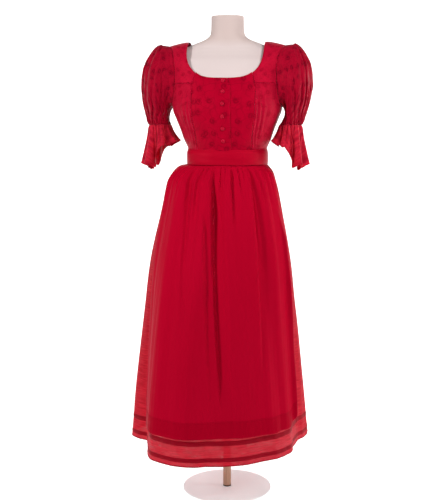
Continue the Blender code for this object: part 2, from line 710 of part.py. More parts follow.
def apron_points(degrees, share):
    """The apron over the skirt's own points, moved out; share 0 is the lower edge and 1 the band."""
    low = apron_outline(degrees)
    z = low + (APRON_TOP_Z - low) * share
    below = np.clip((APRON_TOP_Z - z) / APRON_STAND_RUN, 0, 1)
    stand = APRON_STAND_TOP + (APRON_STAND_LOW - APRON_STAND_TOP) * below
    small = gathers(degrees, z, 18, APRON_LEFT_DEG - APRON_RIGHT_DEG, 0.0024)
    folds = np.maximum(apron_folds(degrees, z) + small * below, APRON_STAND_TOP - stand)
    return skirt_grid(degrees, z, stand + folds)


def make_apron():
    red = material("apron_cloth", (0.46, 0.002, 0.022), 0.50)
    degrees = np.linspace(APRON_RIGHT_DEG, APRON_LEFT_DEG, 73)[None, :]
    rows = np.array([*SKIRT_ROWS_Z, APRON_TOP_Z])[:, None]
    share = (rows - APRON_HEM_Z) / (APRON_TOP_Z - APRON_HEM_Z)
    wall("apron", apron_points(degrees, share), SKIRT_WALL, red)
    angle = np.linspace(0, 2 * math.pi, 44, endpoint=False)
    rows = []
    for z, half_width, half_depth in zip(BAND["z"], BAND["half_width"], BAND["half_depth"]):
        x, y = ring(half_width, half_depth, half_depth, BAND_SQUARENESS, angle)
        rows.append(np.stack([x, y, z + 0 * x], axis=-1))
    wall("waistband", np.array(rows), SKIRT_WALL, red, tube=True)


def make_bow():
    """The band's ends tied behind: a knot round two loops, and two tails that lie on the skirt."""
    red = material("apron_cloth", (0.46, 0.002, 0.022), 0.50)
    turn = np.linspace(0, 2 * math.pi, 28, endpoint=False)
    reach = np.abs(np.cos(turn))
    x = BOW_REACH * np.cos(turn)
    y = BOW_Y + np.sin(turn) * (0.0018 + 0.0150 * reach)
    width = 0.0065 + 0.0150 * np.minimum(reach * 1.6, 1)
    rows = []
    for share in (-1.0, 0.0, 1.0):
        rows.append(np.stack([x, y, BOW_Z - 0.005 * reach + share * width], axis=-1))
    wall("bow_loops", np.array(rows), SKIRT_WALL, red, tube=True)
    around = np.linspace(0, 2 * math.pi, 16, endpoint=False)
    rows = []
    for share in (-1.0, -0.4, 0.4, 1.0):
        bulge = 0.0018 * (1 - share**2)
        y = BOW_Y - (0.0068 + bulge) * np.cos(around)
        z = BOW_Z + (0.0142 + bulge) * np.sin(around)
        rows.append(np.stack([0.0085 * share + 0 * y, y, z], axis=-1))
    wall("bow_knot", np.array(rows), KNOT_WALL, red, tube=True, sense=-1)
    down = np.array([1.1260, 1.1160, 1.1040, 1.0900, 1.0650, 1.0200, 0.9600, 0.9000, 0.8400, 0.7900])
    for name, hand in (("right", -1), ("left", 1)):
        rows = []
        for z in down[::-1]:
            fall = (down[0] - z) / (down[0] - down[-1])
            middle = 0.0065 + 0.0420 * fall
            half = 0.0050 + 0.0170 * min(1.0, fall * 2.5)
            across = np.linspace(-1, 1, 4)
            px = hand * middle + half * across
            skirt = [float(skirt_back_y(v, z)) for v in px]
            y = np.maximum(np.array(skirt) + 0.0055, BOW_Y + 0.004 * min(1.0, fall * 12))
            rows.append(np.stack([px, y, z + 0.006 * hand * across * fall], axis=-1))
        wall("bow_tail_" + name, np.array(rows), SKIRT_WALL, red, sense=-1)


def skirt_back_y(x, z):
    """How far back the skirt reaches near a point behind, with its gathers' full height."""
    centre = x + float(smooth(SKIRT, "z", "sway", z))
    degrees = 180 - math.degrees(math.asin(centre / 0.20)) * np.linspace(0.2, 1.6, 15)
    reach = skirt_radius(degrees, z)
    angle = np.radians(degrees)
    across = reach * np.sin(angle)
    nearest = int(np.argmin(np.abs(across - centre)))
    return -reach[nearest] * math.cos(angle[nearest]) + 0.0030


def main():
    for old in list(bpy.data.objects):
        bpy.data.objects.remove(old, do_unlink=True)
    make_form()
    make_bodice()
    make_sleeves()
    make_skirt()
    make_apron()
    make_bow()


main()
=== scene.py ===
"""Looks of the dirndl with its apron, on its dress form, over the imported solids.

Metres, with +Z up and the front towards -Y. "Right" and "left" in the names are the wearer's, so right is
-X. The cloth repeats the solids' tables of rings and folds at a finer step, and finer creases, seams and
hems are laid on them.
"""

import math
from functools import partialmethod

import bpy
import numpy as np
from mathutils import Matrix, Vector


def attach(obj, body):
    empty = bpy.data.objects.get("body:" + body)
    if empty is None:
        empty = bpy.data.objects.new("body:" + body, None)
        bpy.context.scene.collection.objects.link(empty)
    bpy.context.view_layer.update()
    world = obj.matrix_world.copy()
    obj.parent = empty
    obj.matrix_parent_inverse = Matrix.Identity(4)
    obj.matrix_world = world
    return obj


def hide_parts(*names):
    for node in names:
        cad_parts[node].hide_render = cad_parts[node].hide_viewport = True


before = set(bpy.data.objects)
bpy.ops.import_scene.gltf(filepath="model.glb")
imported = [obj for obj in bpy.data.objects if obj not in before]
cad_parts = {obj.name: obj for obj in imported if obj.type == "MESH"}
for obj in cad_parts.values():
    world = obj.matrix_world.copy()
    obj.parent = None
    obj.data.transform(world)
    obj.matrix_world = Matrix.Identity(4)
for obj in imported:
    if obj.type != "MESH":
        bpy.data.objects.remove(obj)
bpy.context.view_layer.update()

# The photographer's place: a long lens a little to the dress's left of centre front, at chest height,
# on a white sweep with soft light from all sides.
CAMERA_TURN = math.radians(8.0)
CAMERA_DISTANCE = 3.1
CAMERA_HEIGHT = 1.261
CAMERA_DOWN = math.radians(7.95)
CAMERA_ASIDE = -0.0276
LENS_OVER_HEIGHT = 952 / 500
SENSOR_MM = 36.0


def put(name, data):
    """An object with that data, linked into the scene."""
    made = bpy.data.objects.new(name, data)
    bpy.context.scene.collection.objects.link(made)
    return made


view = bpy.data.cameras.new("camera")
view.sensor_width = SENSOR_MM
view.lens = SENSOR_MM * LENS_OVER_HEIGHT
view.clip_end = 30.0
camera = put("camera", view)
camera.location = (
    CAMERA_DISTANCE * math.sin(CAMERA_TURN) + CAMERA_ASIDE * math.cos(CAMERA_TURN),
    -CAMERA_DISTANCE * math.cos(CAMERA_TURN) + CAMERA_ASIDE * math.sin(CAMERA_TURN),
    CAMERA_HEIGHT,
)
camera.rotation_euler = (math.pi / 2 - CAMERA_DOWN, 0.0, CAMERA_TURN)
bpy.context.scene.camera = camera
bpy.context.scene.view_settings.view_transform = "Standard"


def shader_of(name):
    """A new material with its Principled shader."""
    made = bpy.data.materials.new(name)
    made.use_nodes = True
    return made, made.node_tree.nodes["Principled BSDF"]


def points_at(x, y, z):
    """Points whose three parts are spread to one shape."""
    return np.stack(np.broadcast_arrays(x, y, z), axis=-1)


def corners_of(grid):
    """The four corners of each square of a grid, counter-clockwise as its rows go up."""
    return np.stack([grid[:-1, :-1], grid[:-1, 1:], grid[1:, 1:], grid[1:, :-1]], axis=2)


def place(name, points, faces, finish):
    """A mesh object at the origin with its place in its vertices."""
    mesh = bpy.data.meshes.new(name)
    mesh.from_pydata(points.reshape(-1, 3).tolist(), [], faces)
    mesh.materials.append(finish)
    mesh.shade_smooth()
    return put(name, mesh)


def soft_light(name, start, aim, width, height, power, spread=180):
    """A rectangular studio light at start that faces aim; a grid keeps it within spread degrees."""
    light = bpy.data.lights.new(name, "AREA")
    light.shape = "RECTANGLE"
    light.size = width
    light.size_y = height
    light.energy = power
    light.spread = math.radians(spread)
    made = put(name, light)
    made.location = start
    made.rotation_euler = (Vector(aim) - Vector(start)).to_track_quat("-Z", "Y").to_euler()


soft_light("key", (-2.65, -2.55, 2.1), (0, 0, 1.05), 0.5, 0.9, 10.2, 60)
soft_light("upper", (1.5, -2.2, 2.6), (0.08, 0, 1.4), 0.9, 0.9, 4.4, 48)
soft_light("fill", (1.6, -3.4, 1.2), (0, 0, 0.7), 1.6, 1.6, 6)
soft_light("rim_right", (-2.2, 0.9, 1.4), (0, 0, 0.9), 0.6, 2.4, 5)
soft_light("rim_left", (2.5, 0.1, 1.2), (0, 0, 0.7), 0.5, 2.2, 27)

world = bpy.data.worlds.new("studio")
world.use_nodes = True
world.node_tree.nodes["Background"].inputs["Color"].default_value = (1, 1, 1, 1)
world.node_tree.nodes["Background"].inputs["Strength"].default_value = 0.14
bpy.context.scene.world = world

SWEEP_HALF_WIDTH = 7.0
SWEEP_FRONT_Y = -1.1
SWEEP_BEND_Y = 3.2
SWEEP_BEND = 1.2
SWEEP_TOP_Z = 5.0

bend = np.linspace(0, math.pi / 2, 17)
sweep_back_y = SWEEP_BEND_Y + SWEEP_BEND
sweep_y = np.concatenate([[SWEEP_FRONT_Y], SWEEP_BEND_Y + SWEEP_BEND * np.sin(bend), [sweep_back_y]])
sweep_z = np.concatenate([[0.0], SWEEP_BEND * (1 - np.cos(bend)), [SWEEP_TOP_Z]])
sweep_x = np.array([-SWEEP_HALF_WIDTH, SWEEP_HALF_WIDTH])
sweep = points_at(sweep_x, sweep_y[:, None], sweep_z[:, None])
sweep_faces = corners_of(np.arange(2 * len(sweep)).reshape(-1, 2)).reshape(-1, 4)
paper, paper_shader = shader_of("floor_paper")
paper_shader.inputs["Base Color"].default_value = (0.9, 0.9, 0.9, 1)
paper_shader.inputs["Roughness"].default_value = 0.9
paper_shader.inputs["Specular IOR Level"].default_value = 0.1
paper_shader.inputs["Emission Color"].default_value = (1, 1, 1, 1)
paper_shader.inputs["Emission Strength"].default_value = 0.86
floor_sweep = place("floor_sweep", sweep, sweep_faces.tolist(), paper)

# The dress form's turned wooden pole, let into its flat white base: the grain runs up the pole, and its
# foot is painted darker where it meets the base, a painted contact shadow.
POLE_RADIUS = 0.0135
POLE_FOOT_Z = 0.0083
POLE_TOP_Z = 0.9
BASE_RADIUS = 0.15
BASE_HEIGHT = 0.02
BASE_EDGE = 0.004
BASE_HOLE = POLE_RADIUS + 0.0003


def feed(socket, value):
    """Gives a node's input a number, a colour as three numbers, or another node's output."""
    if isinstance(value, Value):
        value.tree.links.new(value.socket, socket)
    else:
        socket.default_value = (*value, 1) if isinstance(value, tuple) else value


class Value:
    """An output in a material's node tree. Sums, products and the like of values are Math nodes."""

    def __init__(self, tree, socket):
        self.tree, self.socket = tree, socket

    def math(self, operation, *others):
        """This value and the others put through one Math node."""
        node = self.tree.nodes.new("ShaderNodeMath")
        node.operation = operation
        for socket, value in zip(node.inputs, (self, *others)):
            feed(socket, value)
        return Value(self.tree, node.outputs[0])

    def __rsub__(self, other):
        return self.math("MULTIPLY_ADD", -1.0, other)

    __add__ = partialmethod(math, "ADD")
    __sub__ = partialmethod(math, "SUBTRACT")
    __mul__ = partialmethod(math, "MULTIPLY")
    __truediv__ = partialmethod(math, "DIVIDE")
    __abs__ = partialmethod(math, "ABSOLUTE")
    most = partialmethod(math, "MAXIMUM")

    def held(self):
        """The value held between 0 and 1."""
        return self.most(0.0).math("MINIMUM", 1.0)


def patterned(name, kind):
    """A new material with its shader and its coordinates: Object, or UV for a piece's map in metres."""
    made, shader = shader_of(name)
    node = shader.id_data.nodes.new("ShaderNodeTexCoord")
    return made, shader, Value(shader.id_data, node.outputs[kind])


def parts_of(vector):
    """The three parts of a vector or a colour."""
    node = vector.tree.nodes.new("ShaderNodeSeparateXYZ")
    feed(node.inputs[0], vector)
    return [Value(vector.tree, socket) for socket in node.outputs]


def stretched(vector, stretch, shift=(0, 0, 0)):
    """A vector times its own stretch along each axis, then shifted."""
    node = vector.tree.nodes.new("ShaderNodeVectorMath")
    node.operation = "MULTIPLY_ADD"
    feed(node.inputs[0], vector)
    node.inputs[1].default_value = stretch
    node.inputs[2].default_value = shift
    return Value(vector.tree, node.outputs[0])


def noise(vector, stretch, detail=3.0):
    """A noise from 0 to 1 whose cells are as long as 1 / stretch along each axis."""
    cloud = vector.tree.nodes.new("ShaderNodeTexNoise")
    cloud.inputs["Scale"].default_value = 1.0
    cloud.inputs["Detail"].default_value = detail
    feed(cloud.inputs["Vector"], stretched(vector, stretch))
    return Value(vector.tree, cloud.outputs["Fac"])


def between(value, low, high, soft):
    """1 where value lies between low and high, falling to 0 over soft on either side."""
    rise = (value - (low - soft)) / soft
    fall = (high + soft - value) / soft
    return rise.math("MINIMUM", fall).held()


def blend(share, first, second):
    """A colour between two, by that share of the second."""
    node = share.tree.nodes.new("ShaderNodeMix")
    node.data_type = "RGBA"
    for socket, value in ((node.inputs["Factor"], share), (node.inputs[6], first), (node.inputs[7], second)):
        feed(socket, value)
    return Value(share.tree, node.outputs[2])


def surface(shader, tone, rough, relief, depth, strength=1.0):
    """Gives a shader its colour and roughness, and raises its surface by relief times depth."""
    feed(shader.inputs["Base Color"], tone)
    feed(shader.inputs["Roughness"], rough)
    node = relief.tree.nodes.new("ShaderNodeBump")
    node.inputs["Strength"].default_value = strength
    node.inputs["Distance"].default_value = depth
    feed(node.inputs["Height"], relief)
    relief.tree.links.new(node.outputs["Normal"], shader.inputs["Normal"])


def red_lustre(shader, gloss, sheen):
    """How all the red cloths shine: highlights in the cloth's own red, and a pale bloom only where the
    surface turns away."""
    shader.inputs["Specular IOR Level"].default_value = gloss
    shader.inputs["Specular Tint"].default_value = (1.0, 0.03, 0.08, 1)
    shader.inputs["Sheen Weight"].default_value = sheen
    shader.inputs["Sheen Roughness"].default_value = 0.28
    shader.inputs["Sheen Tint"].default_value = (1.0, 0.45, 0.5, 1)


def stands_for(piece, node):
    """The piece rides on the one body and is shown for the CAD node."""
    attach(piece, "root")
    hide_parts(node)


def full_turn(count):
    """That many even angles round a full turn, from 0."""
    return np.linspace(0, 2 * math.pi, count, endpoint=False)


def turned(profile, segments):
    """Rings about the Z axis: radius and height from the profile, carried round a full turn."""
    angle = full_turn(segments)
    radius, z = np.array(profile, float).T[..., None]
    return points_at(radius * np.sin(angle), -radius * np.cos(angle), z)


def closed_stack(name, rings, finish):
    """A closed skin through rings from bottom to top, its two ends closed flat and its edges kept sharp."""
    rows, columns = rings.shape[:2]
    index = np.arange(rows * columns).reshape(rows, columns)
    faces = corners_of(np.concatenate([index, index[:, :1]], axis=1)).reshape(-1, 4).tolist()
    made = place(name, rings, [*faces, index[0, ::-1].tolist(), index[-1].tolist()], finish)
    made.data.set_sharp_from_angle(angle=math.radians(50))
    return made


wood, shader, spot = patterned("pole_wood", "Object")
grain = noise(spot, (420.0, 420.0, 14.0), 4.0)
knots = noise(spot, (60.0, 60.0, 5.0), 2.0)
timber = blend(grain * 0.6 + knots * 0.4, (0.36, 0.19, 0.115), (0.66, 0.41, 0.28))
# Painted contact shadow: the pole turns dark brown over its lowest 25 mm, where it meets the base.
foot = between(parts_of(spot)[2], 0.0, 0.0245, 0.0015)
surface(shader, blend(foot, timber, (0.1, 0.055, 0.035)), grain * 0.2 + 0.32, grain, 0.0002)
pole_edge = 0.0006
pole_profile = [(POLE_RADIUS - pole_edge, POLE_FOOT_Z)]
pole_profile += [(POLE_RADIUS, z) for z in (POLE_FOOT_Z + pole_edge, 0.3, 0.6, POLE_TOP_Z)]
pole = closed_stack("pole_turned", turned(pole_profile, 48), wood)
stands_for(pole, "form_pole")

lacquer, shader, spot = patterned("base_lacquer", "Object")
specks = noise(spot, (90.0, 90.0, 90.0), 4.0)
# Painted light: the base's white is tinted cyan to cancel the red light that reaches it through the skirt.
tone = blend(specks, (0.85, 0.93, 0.93), (0.88, 0.96, 0.96))
surface(shader, tone, specks * 0.15 + 0.6, specks, 0.00015)
shader.inputs["Specular IOR Level"].default_value = 0.12
# Painted light: the base glows faintly, so it stays as white as the floor.
shader.inputs["Emission Color"].default_value = (0.9, 1, 1, 1)
shader.inputs["Emission Strength"].default_value = 0.24
rounding = np.linspace(0, math.pi / 2, 7)
low_edge = [(BASE_RADIUS - BASE_EDGE * (1 - math.sin(a)), BASE_EDGE * (1 - math.cos(a))) for a in rounding]
high_edge = [(r, BASE_HEIGHT - z) for r, z in reversed(low_edge)]
base = closed_stack(
    "base_disc", turned([*low_edge, *high_edge, (BASE_HOLE, BASE_HEIGHT), (BASE_HOLE, 0.008)], 96), lacquer
)
stands_for(base, "form_base")

# The dress form itself: a limbless padded torso with a neck, under a close pale jersey cover. Its rings
# are the bodice's own, drawn in by the cloth and a little ease.
FORM_EASE = 0.0052


def table(names, rows):
    """A short table as one array for each named column."""
    return {name: np.array(column, float) for name, column in zip(names.split(), zip(*rows))}


RING_SIZES = ("half_width", "front", "back", "squareness")
RING_TABLE = "z " + " ".join(RING_SIZES)
BODICE = table(RING_TABLE, [
    (1.1, 0.1262, 0.0945, 0.0945, 2.2), (1.136, 0.1262, 0.0945, 0.0945, 2.2),
    (1.159, 0.1276, 0.096, 0.095, 2.25), (1.19, 0.14, 0.105, 0.0985, 2.4),
    (1.22, 0.15, 0.1145, 0.101, 2.5), (1.256, 0.164, 0.125, 0.104, 2.6),
    (1.285, 0.1745, 0.1285, 0.1065, 2.6), (1.31, 0.1765, 0.126, 0.109, 2.7),
    (1.35, 0.177, 0.115, 0.111, 2.7), (1.38, 0.179, 0.106, 0.111, 2.7),
    (1.4, 0.181, 0.1, 0.11, 2.7),
])
FORM_HIPS = table(RING_TABLE, [
    (0.86, 0.138, 0.098, 0.1, 2.2), (0.875, 0.15, 0.106, 0.11, 2.2),
    (0.93, 0.158, 0.111, 0.12, 2.2), (1.0, 0.154, 0.106, 0.116, 2.2),
    (1.06, 0.138, 0.096, 0.101, 2.2),
])
FORM_SHOULDERS = table(RING_TABLE, [
    (1.438, 0.174, 0.078, 0.087, 2.6), (1.456, 0.17, 0.064, 0.072, 2.4),
    (1.47, 0.158, 0.056, 0.062, 2.2), (1.481, 0.132, 0.053, 0.058, 2.0),
    (1.49, 0.111, 0.0525, 0.057, 2.0), (1.498, 0.09, 0.052, 0.056, 2.0),
    (1.507, 0.069, 0.0515, 0.055, 2.0), (1.519, 0.056, 0.0505, 0.053, 2.0),
    (1.535, 0.0525, 0.05, 0.051, 2.0), (1.578, 0.0515, 0.05, 0.05, 2.0),
])

FORM_BOTTOM_Z = 0.86


def smooth(columns, name, at):
    """A table's column read between its rows, along its first column, on a curve that never overshoots."""
    places = next(iter(columns.values()))
    order = np.argsort(places)
    place_of, value = places[order], columns[name][order]
    step = np.diff(value) / np.diff(place_of)
    product = step[:-1] * step[1:]
    total = np.where(np.abs(step[:-1] + step[1:]) < 1e-12, 1.0, step[:-1] + step[1:])
    slope = np.concatenate([step[:1], np.where(product > 0, 2 * product / total, 0.0), step[-1:]])
    at = np.clip(np.asarray(at, float), place_of[0], place_of[-1])
    i = np.clip(np.searchsorted(place_of, at) - 1, 0, len(place_of) - 2)
    width = place_of[i + 1] - place_of[i]
    t = (at - place_of[i]) / width
    return (
        value[i] * (1 + 2 * t) * (1 - t) ** 2
        + slope[i] * width * t * (1 - t) ** 2
        + value[i + 1] * t * t * (3 - 2 * t)
        + slope[i + 1] * width * t * t * (t - 1)
    )


def ring(half_width, front, back, squareness, angle):
    """A rounded ring's x and y; angle 0 is centre front and a quarter turn is the wearer's left."""
    sine, cosine = np.sin(angle), np.cos(angle)
    power = 2 / squareness
    depth = np.where(cosine > 0, front, back)
    x = half_width * np.sign(sine) * np.abs(sine) ** power
    return x, -depth * np.sign(cosine) * np.abs(cosine) ** power


def ring_of(columns, z, angle):
    """The x and y of a table's rounded rings at those heights."""
    return ring(*(smooth(columns, key, z) for key in RING_SIZES), angle)


FORM = {key: np.concatenate([FORM_HIPS[key], BODICE[key], FORM_SHOULDERS[key]]) for key in BODICE}
for key in RING_SIZES[:3]:
    FORM[key][len(FORM_HIPS["z"]) : -len(FORM_SHOULDERS["z"])] -= FORM_EASE
form_body_z = np.linspace(FORM_BOTTOM_Z, 1.42, 90)
form_z = np.concatenate([form_body_z, np.linspace(1.422, 1.5765, 60), [1.5777, 1.578]])
form_draw = np.concatenate([np.ones(150), [0.985, 0.95]])
form_x, form_y = ring_of(FORM, form_z[:, None], full_turn(128))
form_rings = points_at(form_x, form_y, form_z[:, None])
form_rings[..., :2] *= form_draw[:, None, None]
socket = turned([(BASE_HOLE, POLE_TOP_Z + 0.0003), (BASE_HOLE, FORM_BOTTOM_Z)], 128)

jersey, shader, spot = patterned("form_jersey", "Object")
cloud = noise(spot, (9.0, 9.0, 9.0))
rib = noise(spot, (900.0, 900.0, 260.0), 2.0)
# Painted light: the cover's pink tint is red light bounced from the dress, painted into its colour; above
# 1.5 m the cover is darker up the neck.
chest_tone = blend(cloud, (0.66, 0.55, 0.53), (0.72, 0.605, 0.59))
up_neck = between(parts_of(spot)[2], 1.505, 1.7, 0.025)
surface(shader, blend(up_neck, chest_tone, (0.62, 0.49, 0.458)), 0.62, rib, 0.0002, 0.5)
shader.inputs["Specular IOR Level"].default_value = 0.25
torso = closed_stack("form_cover", np.concatenate([socket, form_rings]), jersey)
stands_for(torso, "form_torso")

# The bodice: lined satin jacquard, tone on tone, cut as two centre fronts, two side fronts gathered along
# their princess seams, two shoulder yokes and a back, and sewn with turned-in seams.
WAIST_Z = 1.136
CHEST_TOP_Z = 1.4
UNDERARM_Z = 1.296
SHOULDER_ARC = 0.095
SHOULDER_SPREAD = 0.026
SHOULDER_TOP_Z = 1.5
RIDGE = SHOULDER_ARC * math.pi / 2
ARMHOLE_X = 0.19
NECK_HALF_WIDTH = 0.122
NECK_TOP_Z = 1.49
NECK_DROP = 0.1075
NECK_ROUNDNESS = 3.0
FRONT_YOKE_Z = 1.366
BACK_YOKE_Z = 1.412
BACK_NECK_X = 0.104
BACK_NECK_RISE = 0.06
YOKE_CORNER_X = 0.088
RIGHT_EDGE_X = 0.025
RIGHT_EDGE_TOP_X = 0.014
RIGHT_EDGE_TURN_Z = 1.335
RIGHT_EDGE_TURN = 0.048
LEFT_EDGE_X = -0.014
LAP = 0.0022
LAP_START_X = -0.05
LAP_RUN = 0.03
SEAM = 0.00003
CLOTH = 0.0009
NECK_HUG = 0.0016
NECK_HUG_REACH = 0.009
SHOULDER = table("x z", [
    (0.06, 1.508), (0.1, 1.5035), (0.122, 1.5), (0.15, 1.495), (0.19, 1.485), (0.21, 1.478),
])
PRINCESS = table("z x", [
    (1.13, 0.086), (1.2, 0.09), (1.28, 0.099), (1.34, 0.1005), (1.366, 0.098), (1.4, 0.088),
])
ARMHOLE = table("rise x", [
    (UNDERARM_Z - CHEST_TOP_Z, 0.1757), (-0.09, 0.171), (-0.06, 0.1655), (-0.02, 0.162),
    (0.03, 0.1635), (0.08, 0.172), (0.12, 0.182), (RIDGE, ARMHOLE_X),
])


def held(value):
    """The value held between 0 and 1."""
    return np.clip(value, 0, 1)


def bell(distance):
    """A bell curve: 1 at no distance, and a third at 1."""
    return np.exp(-(distance**2))


def bodice_half_width(rise):
    """Half the bodice's width after a rise along it: the table's, then wider by a sine over the shoulder."""
    turn = np.clip(rise, 0, RIDGE) / SHOULDER_ARC
    width = smooth(BODICE, "half_width", CHEST_TOP_Z + np.minimum(rise, 0))
    return width + SHOULDER_SPREAD * np.sin(turn)


def bodice_point(x, rise, facing):
    """A point of the bodice's outside at x, after a rise along it: a rounded ring up to the top of the
    chest, then a quarter circle over to the shoulder's top line. facing is -1 in front and 1 behind."""
    turn = np.clip(rise, 0, RIDGE) / SHOULDER_ARC
    z = CHEST_TOP_Z + np.minimum(rise, 0)
    squareness = smooth(BODICE, "squareness", z)
    depth = smooth(BODICE, "front" if facing < 0 else "back", z) * np.cos(turn)
    share = held(np.abs(x) / bodice_half_width(rise))
    y = facing * depth * (1 - share**squareness) ** (1 / squareness)
    top = smooth(SHOULDER, "z", np.abs(x))
    return points_at(x, y, z + (top - CHEST_TOP_Z) * np.sin(turn))


def rise_of(z):
    """The rise that reaches a height, on the shoulder's slope above the chest."""
    above = held((np.asarray(z, float) - CHEST_TOP_Z) / (SHOULDER_TOP_Z - CHEST_TOP_Z))
    return np.where(z < CHEST_TOP_Z, z - CHEST_TOP_Z, SHOULDER_ARC * np.arcsin(above))


def neckline_x(z):
    """The neckline's x at a height: a rounded scoop, a superellipse from the shoulder down to its drop."""
    down = held((NECK_TOP_Z - z) / NECK_DROP)
    return NECK_HALF_WIDTH * (1 - down**NECK_ROUNDNESS) ** (1 / NECK_ROUNDNESS)


def neckline_z(x):
    """The same scoop's height at an x."""
    share = held(np.abs(x) / NECK_HALF_WIDTH)
    return NECK_TOP_Z - NECK_DROP * (1 - share**NECK_ROUNDNESS) ** (1 / NECK_ROUNDNESS)


def side_edge(rise):
    """How far out the bodice reaches: to the side seam, and above the underarm to the armhole."""
    widest = bodice_half_width(rise)
    armhole = np.minimum(smooth(ARMHOLE, "x", rise), widest)
    return np.where(rise < UNDERARM_Z - CHEST_TOP_Z, widest, armhole)


def outward(grid, closed=False):
    """Unit normals of a grid whose rows go up and whose columns go round."""
    if closed:
        around = np.roll(grid, -1, axis=1) - np.roll(grid, 1, axis=1)
    else:
        around = np.gradient(grid, axis=1)
    normal = np.cross(around, np.gradient(grid, axis=0))
    return normal / np.maximum(np.linalg.norm(normal, axis=-1, keepdims=True), 1e-12)


def reaches(grid, closed=False):
    """Metres along each row from its first column, and up each column from its lowest row."""
    if closed:
        grid = np.concatenate([grid, grid[:, :1]], axis=1)
    across = np.linalg.norm(np.diff(grid, axis=1), axis=2)
    up = np.linalg.norm(np.diff(grid, axis=0), axis=2)
    across = np.concatenate([np.zeros((len(grid), 1)), np.cumsum(across, axis=1)], axis=1)
    up = np.concatenate([np.zeros((1, grid.shape[1])), np.cumsum(up, axis=0)])
    return across, up


def turned_in(grid, edges, depth=0.0008, reach=0.0022):
    """Dips the cloth where it is turned in at a seam or an edge: a bell curve of the distance from each
    named edge, left or right for the first or last column, low or high for the first or last row."""
    across, up = reaches(grid)
    distance = {"left": across, "right": across[:, -1:] - across, "low": up, "high": up[-1:] - up}
    dip = sum(bell(distance[edge] / reach) for edge in edges)
    return grid - outward(grid) * (depth * np.minimum(dip, 1))[..., None]


def cloth(name, grid, finish, closed=False, sense=1, thickness=CLOTH, start=0.5):
    """A sheet through a grid of points, given its thickness inwards. Its map "cloth" is in metres: u runs
    along each row from that share of the row, its middle for most, and v up each column from the lowest."""
    rows, columns = grid.shape[:2]
    index = np.arange(rows)[:, None] * columns + np.arange(columns + closed) % columns
    across, up = reaches(grid, closed)
    across -= across[:, -1:] * start
    uv = np.stack([across, up], -1)
    faces, maps = corners_of(index).reshape(-1, 4), corners_of(uv).reshape(-1, 4, 2)
    if sense < 0:
        faces, maps = faces[:, ::-1], maps[:, ::-1]
    made = place(name, grid, faces.tolist(), finish)
    layer = made.data.uv_layers.new(name="cloth")
    layer.uv.foreach_set("vector", np.ascontiguousarray(maps, dtype=np.float32).ravel())
    wall = made.modifiers.new("thickness", "SOLIDIFY")
    wall.thickness = thickness
    wall.offset = -1.0
    return made


def curls(uv, cell, seed):
    """A mask of scattered curls, one in most cells of a jittered grid of that size in metres: a hook whose
    distance from its eye grows with the turn round it, with a small leaf on its back."""
    spot = stretched(uv, (1 / cell, 1 / cell, 0), (seed, 2.3 * seed, 0))
    cells = uv.tree.nodes.new("ShaderNodeTexVoronoi")
    cells.voronoi_dimensions = "2D"
    cells.inputs["Scale"].default_value = 1.0
    cells.inputs["Randomness"].default_value = 0.85
    feed(cells.inputs["Vector"], spot)
    x, y, _ = parts_of(spot)
    eye_x, eye_y, _ = parts_of(Value(uv.tree, cells.outputs["Position"]))
    turn_luck, flip_luck, luck = parts_of(Value(uv.tree, cells.outputs["Color"]))
    dx, dy = x - eye_x, y - eye_y
    flip = flip_luck.math("GREATER_THAN", 0.5) * 2.0 - 1.0
    turn = (dy * flip).math("ARCTAN2", dx) + turn_luck * (2 * math.pi)
    turn = turn.math("WRAP", 2 * math.pi, 0.0) / (2 * math.pi)
    radius = (dx * dx + dy * dy).math("SQRT")
    hook = (0.14 - turn * 0.045 - abs(radius - (turn * 0.16 + 0.06))) / 0.09
    eye = (0.095 - radius) / 0.07
    petals = abs((turn * (4.5 * math.pi)).math("SINE"))
    leaf = (petals * 0.085 - abs(radius - 0.265)) / 0.11 * turn.math("LESS_THAN", 0.55)
    return hook.most(eye).most(leaf).held() * luck.math("GREATER_THAN", 0.12)


STEM_WIDTH = 0.022


def jacquard(name, cell, seed, ground, figure, sheen, sprigs):
    """Satin ground with matt curls woven in, joined by thin winding stems along a level line of soft noise,
    and small sprigs strewn between them."""
    finish, shader, uv = patterned(name, "UV")
    strewn = (noise(uv, (150.0, 130.0, 1.0), 2.0) * 6.0 - 3.2).held() * sprigs
    wander = noise(uv, (0.85 / cell, 0.85 / cell, 1.0), 1.0)
    stems = (0.55 - abs(wander - 0.5) * (0.55 / STEM_WIDTH)).most(0.0)
    figures = curls(uv, cell, seed).most(strewn.most(stems))
    slub = noise(uv, (260.0, 2200.0, 1.0))
    cloud = noise(uv, (34.0, 26.0, 1.0))
    tone = blend(cloud * 1.6 - 0.3, ground, tuple(0.8 * c for c in ground))
    rough = slub * 0.1 + figures * 0.22 + 0.4
    surface(shader, blend(figures, tone, figure), rough, slub * 0.45 + figures * 0.35, 0.00035, 0.7)
    red_lustre(shader, 0.2, sheen)
    return finish


# Lit and shaded copies of one jacquard: the yokes and side fronts take a paler, pinker red than the centre
# fronts and back, a painted sheen where the bodice turns aside.
front_reds = (0.44, 0.0006, 0.0195), (0.245, 0.0003, 0.0112)
yoke_reds = (0.5, 0.0035, 0.028), (0.3, 0.0014, 0.016)
side_reds = (0.47, 0.0035, 0.027), (0.31, 0.001, 0.015)
front_jacquard = jacquard("bodice_jacquard", 0.04, 3.1, *front_reds, sheen=0.02, sprigs=0.15)
yoke_jacquard = jacquard("yoke_jacquard", 0.027, 7.7, *yoke_reds, sheen=0.08, sprigs=0.65)
side_jacquard = jacquard("side_jacquard", 0.033, 5.3, *side_reds, sheen=0.12, sprigs=0.45)


def princess_x(z):
    """The princess seam's x at a height, from its table."""
    return smooth(PRINCESS, "x", z)


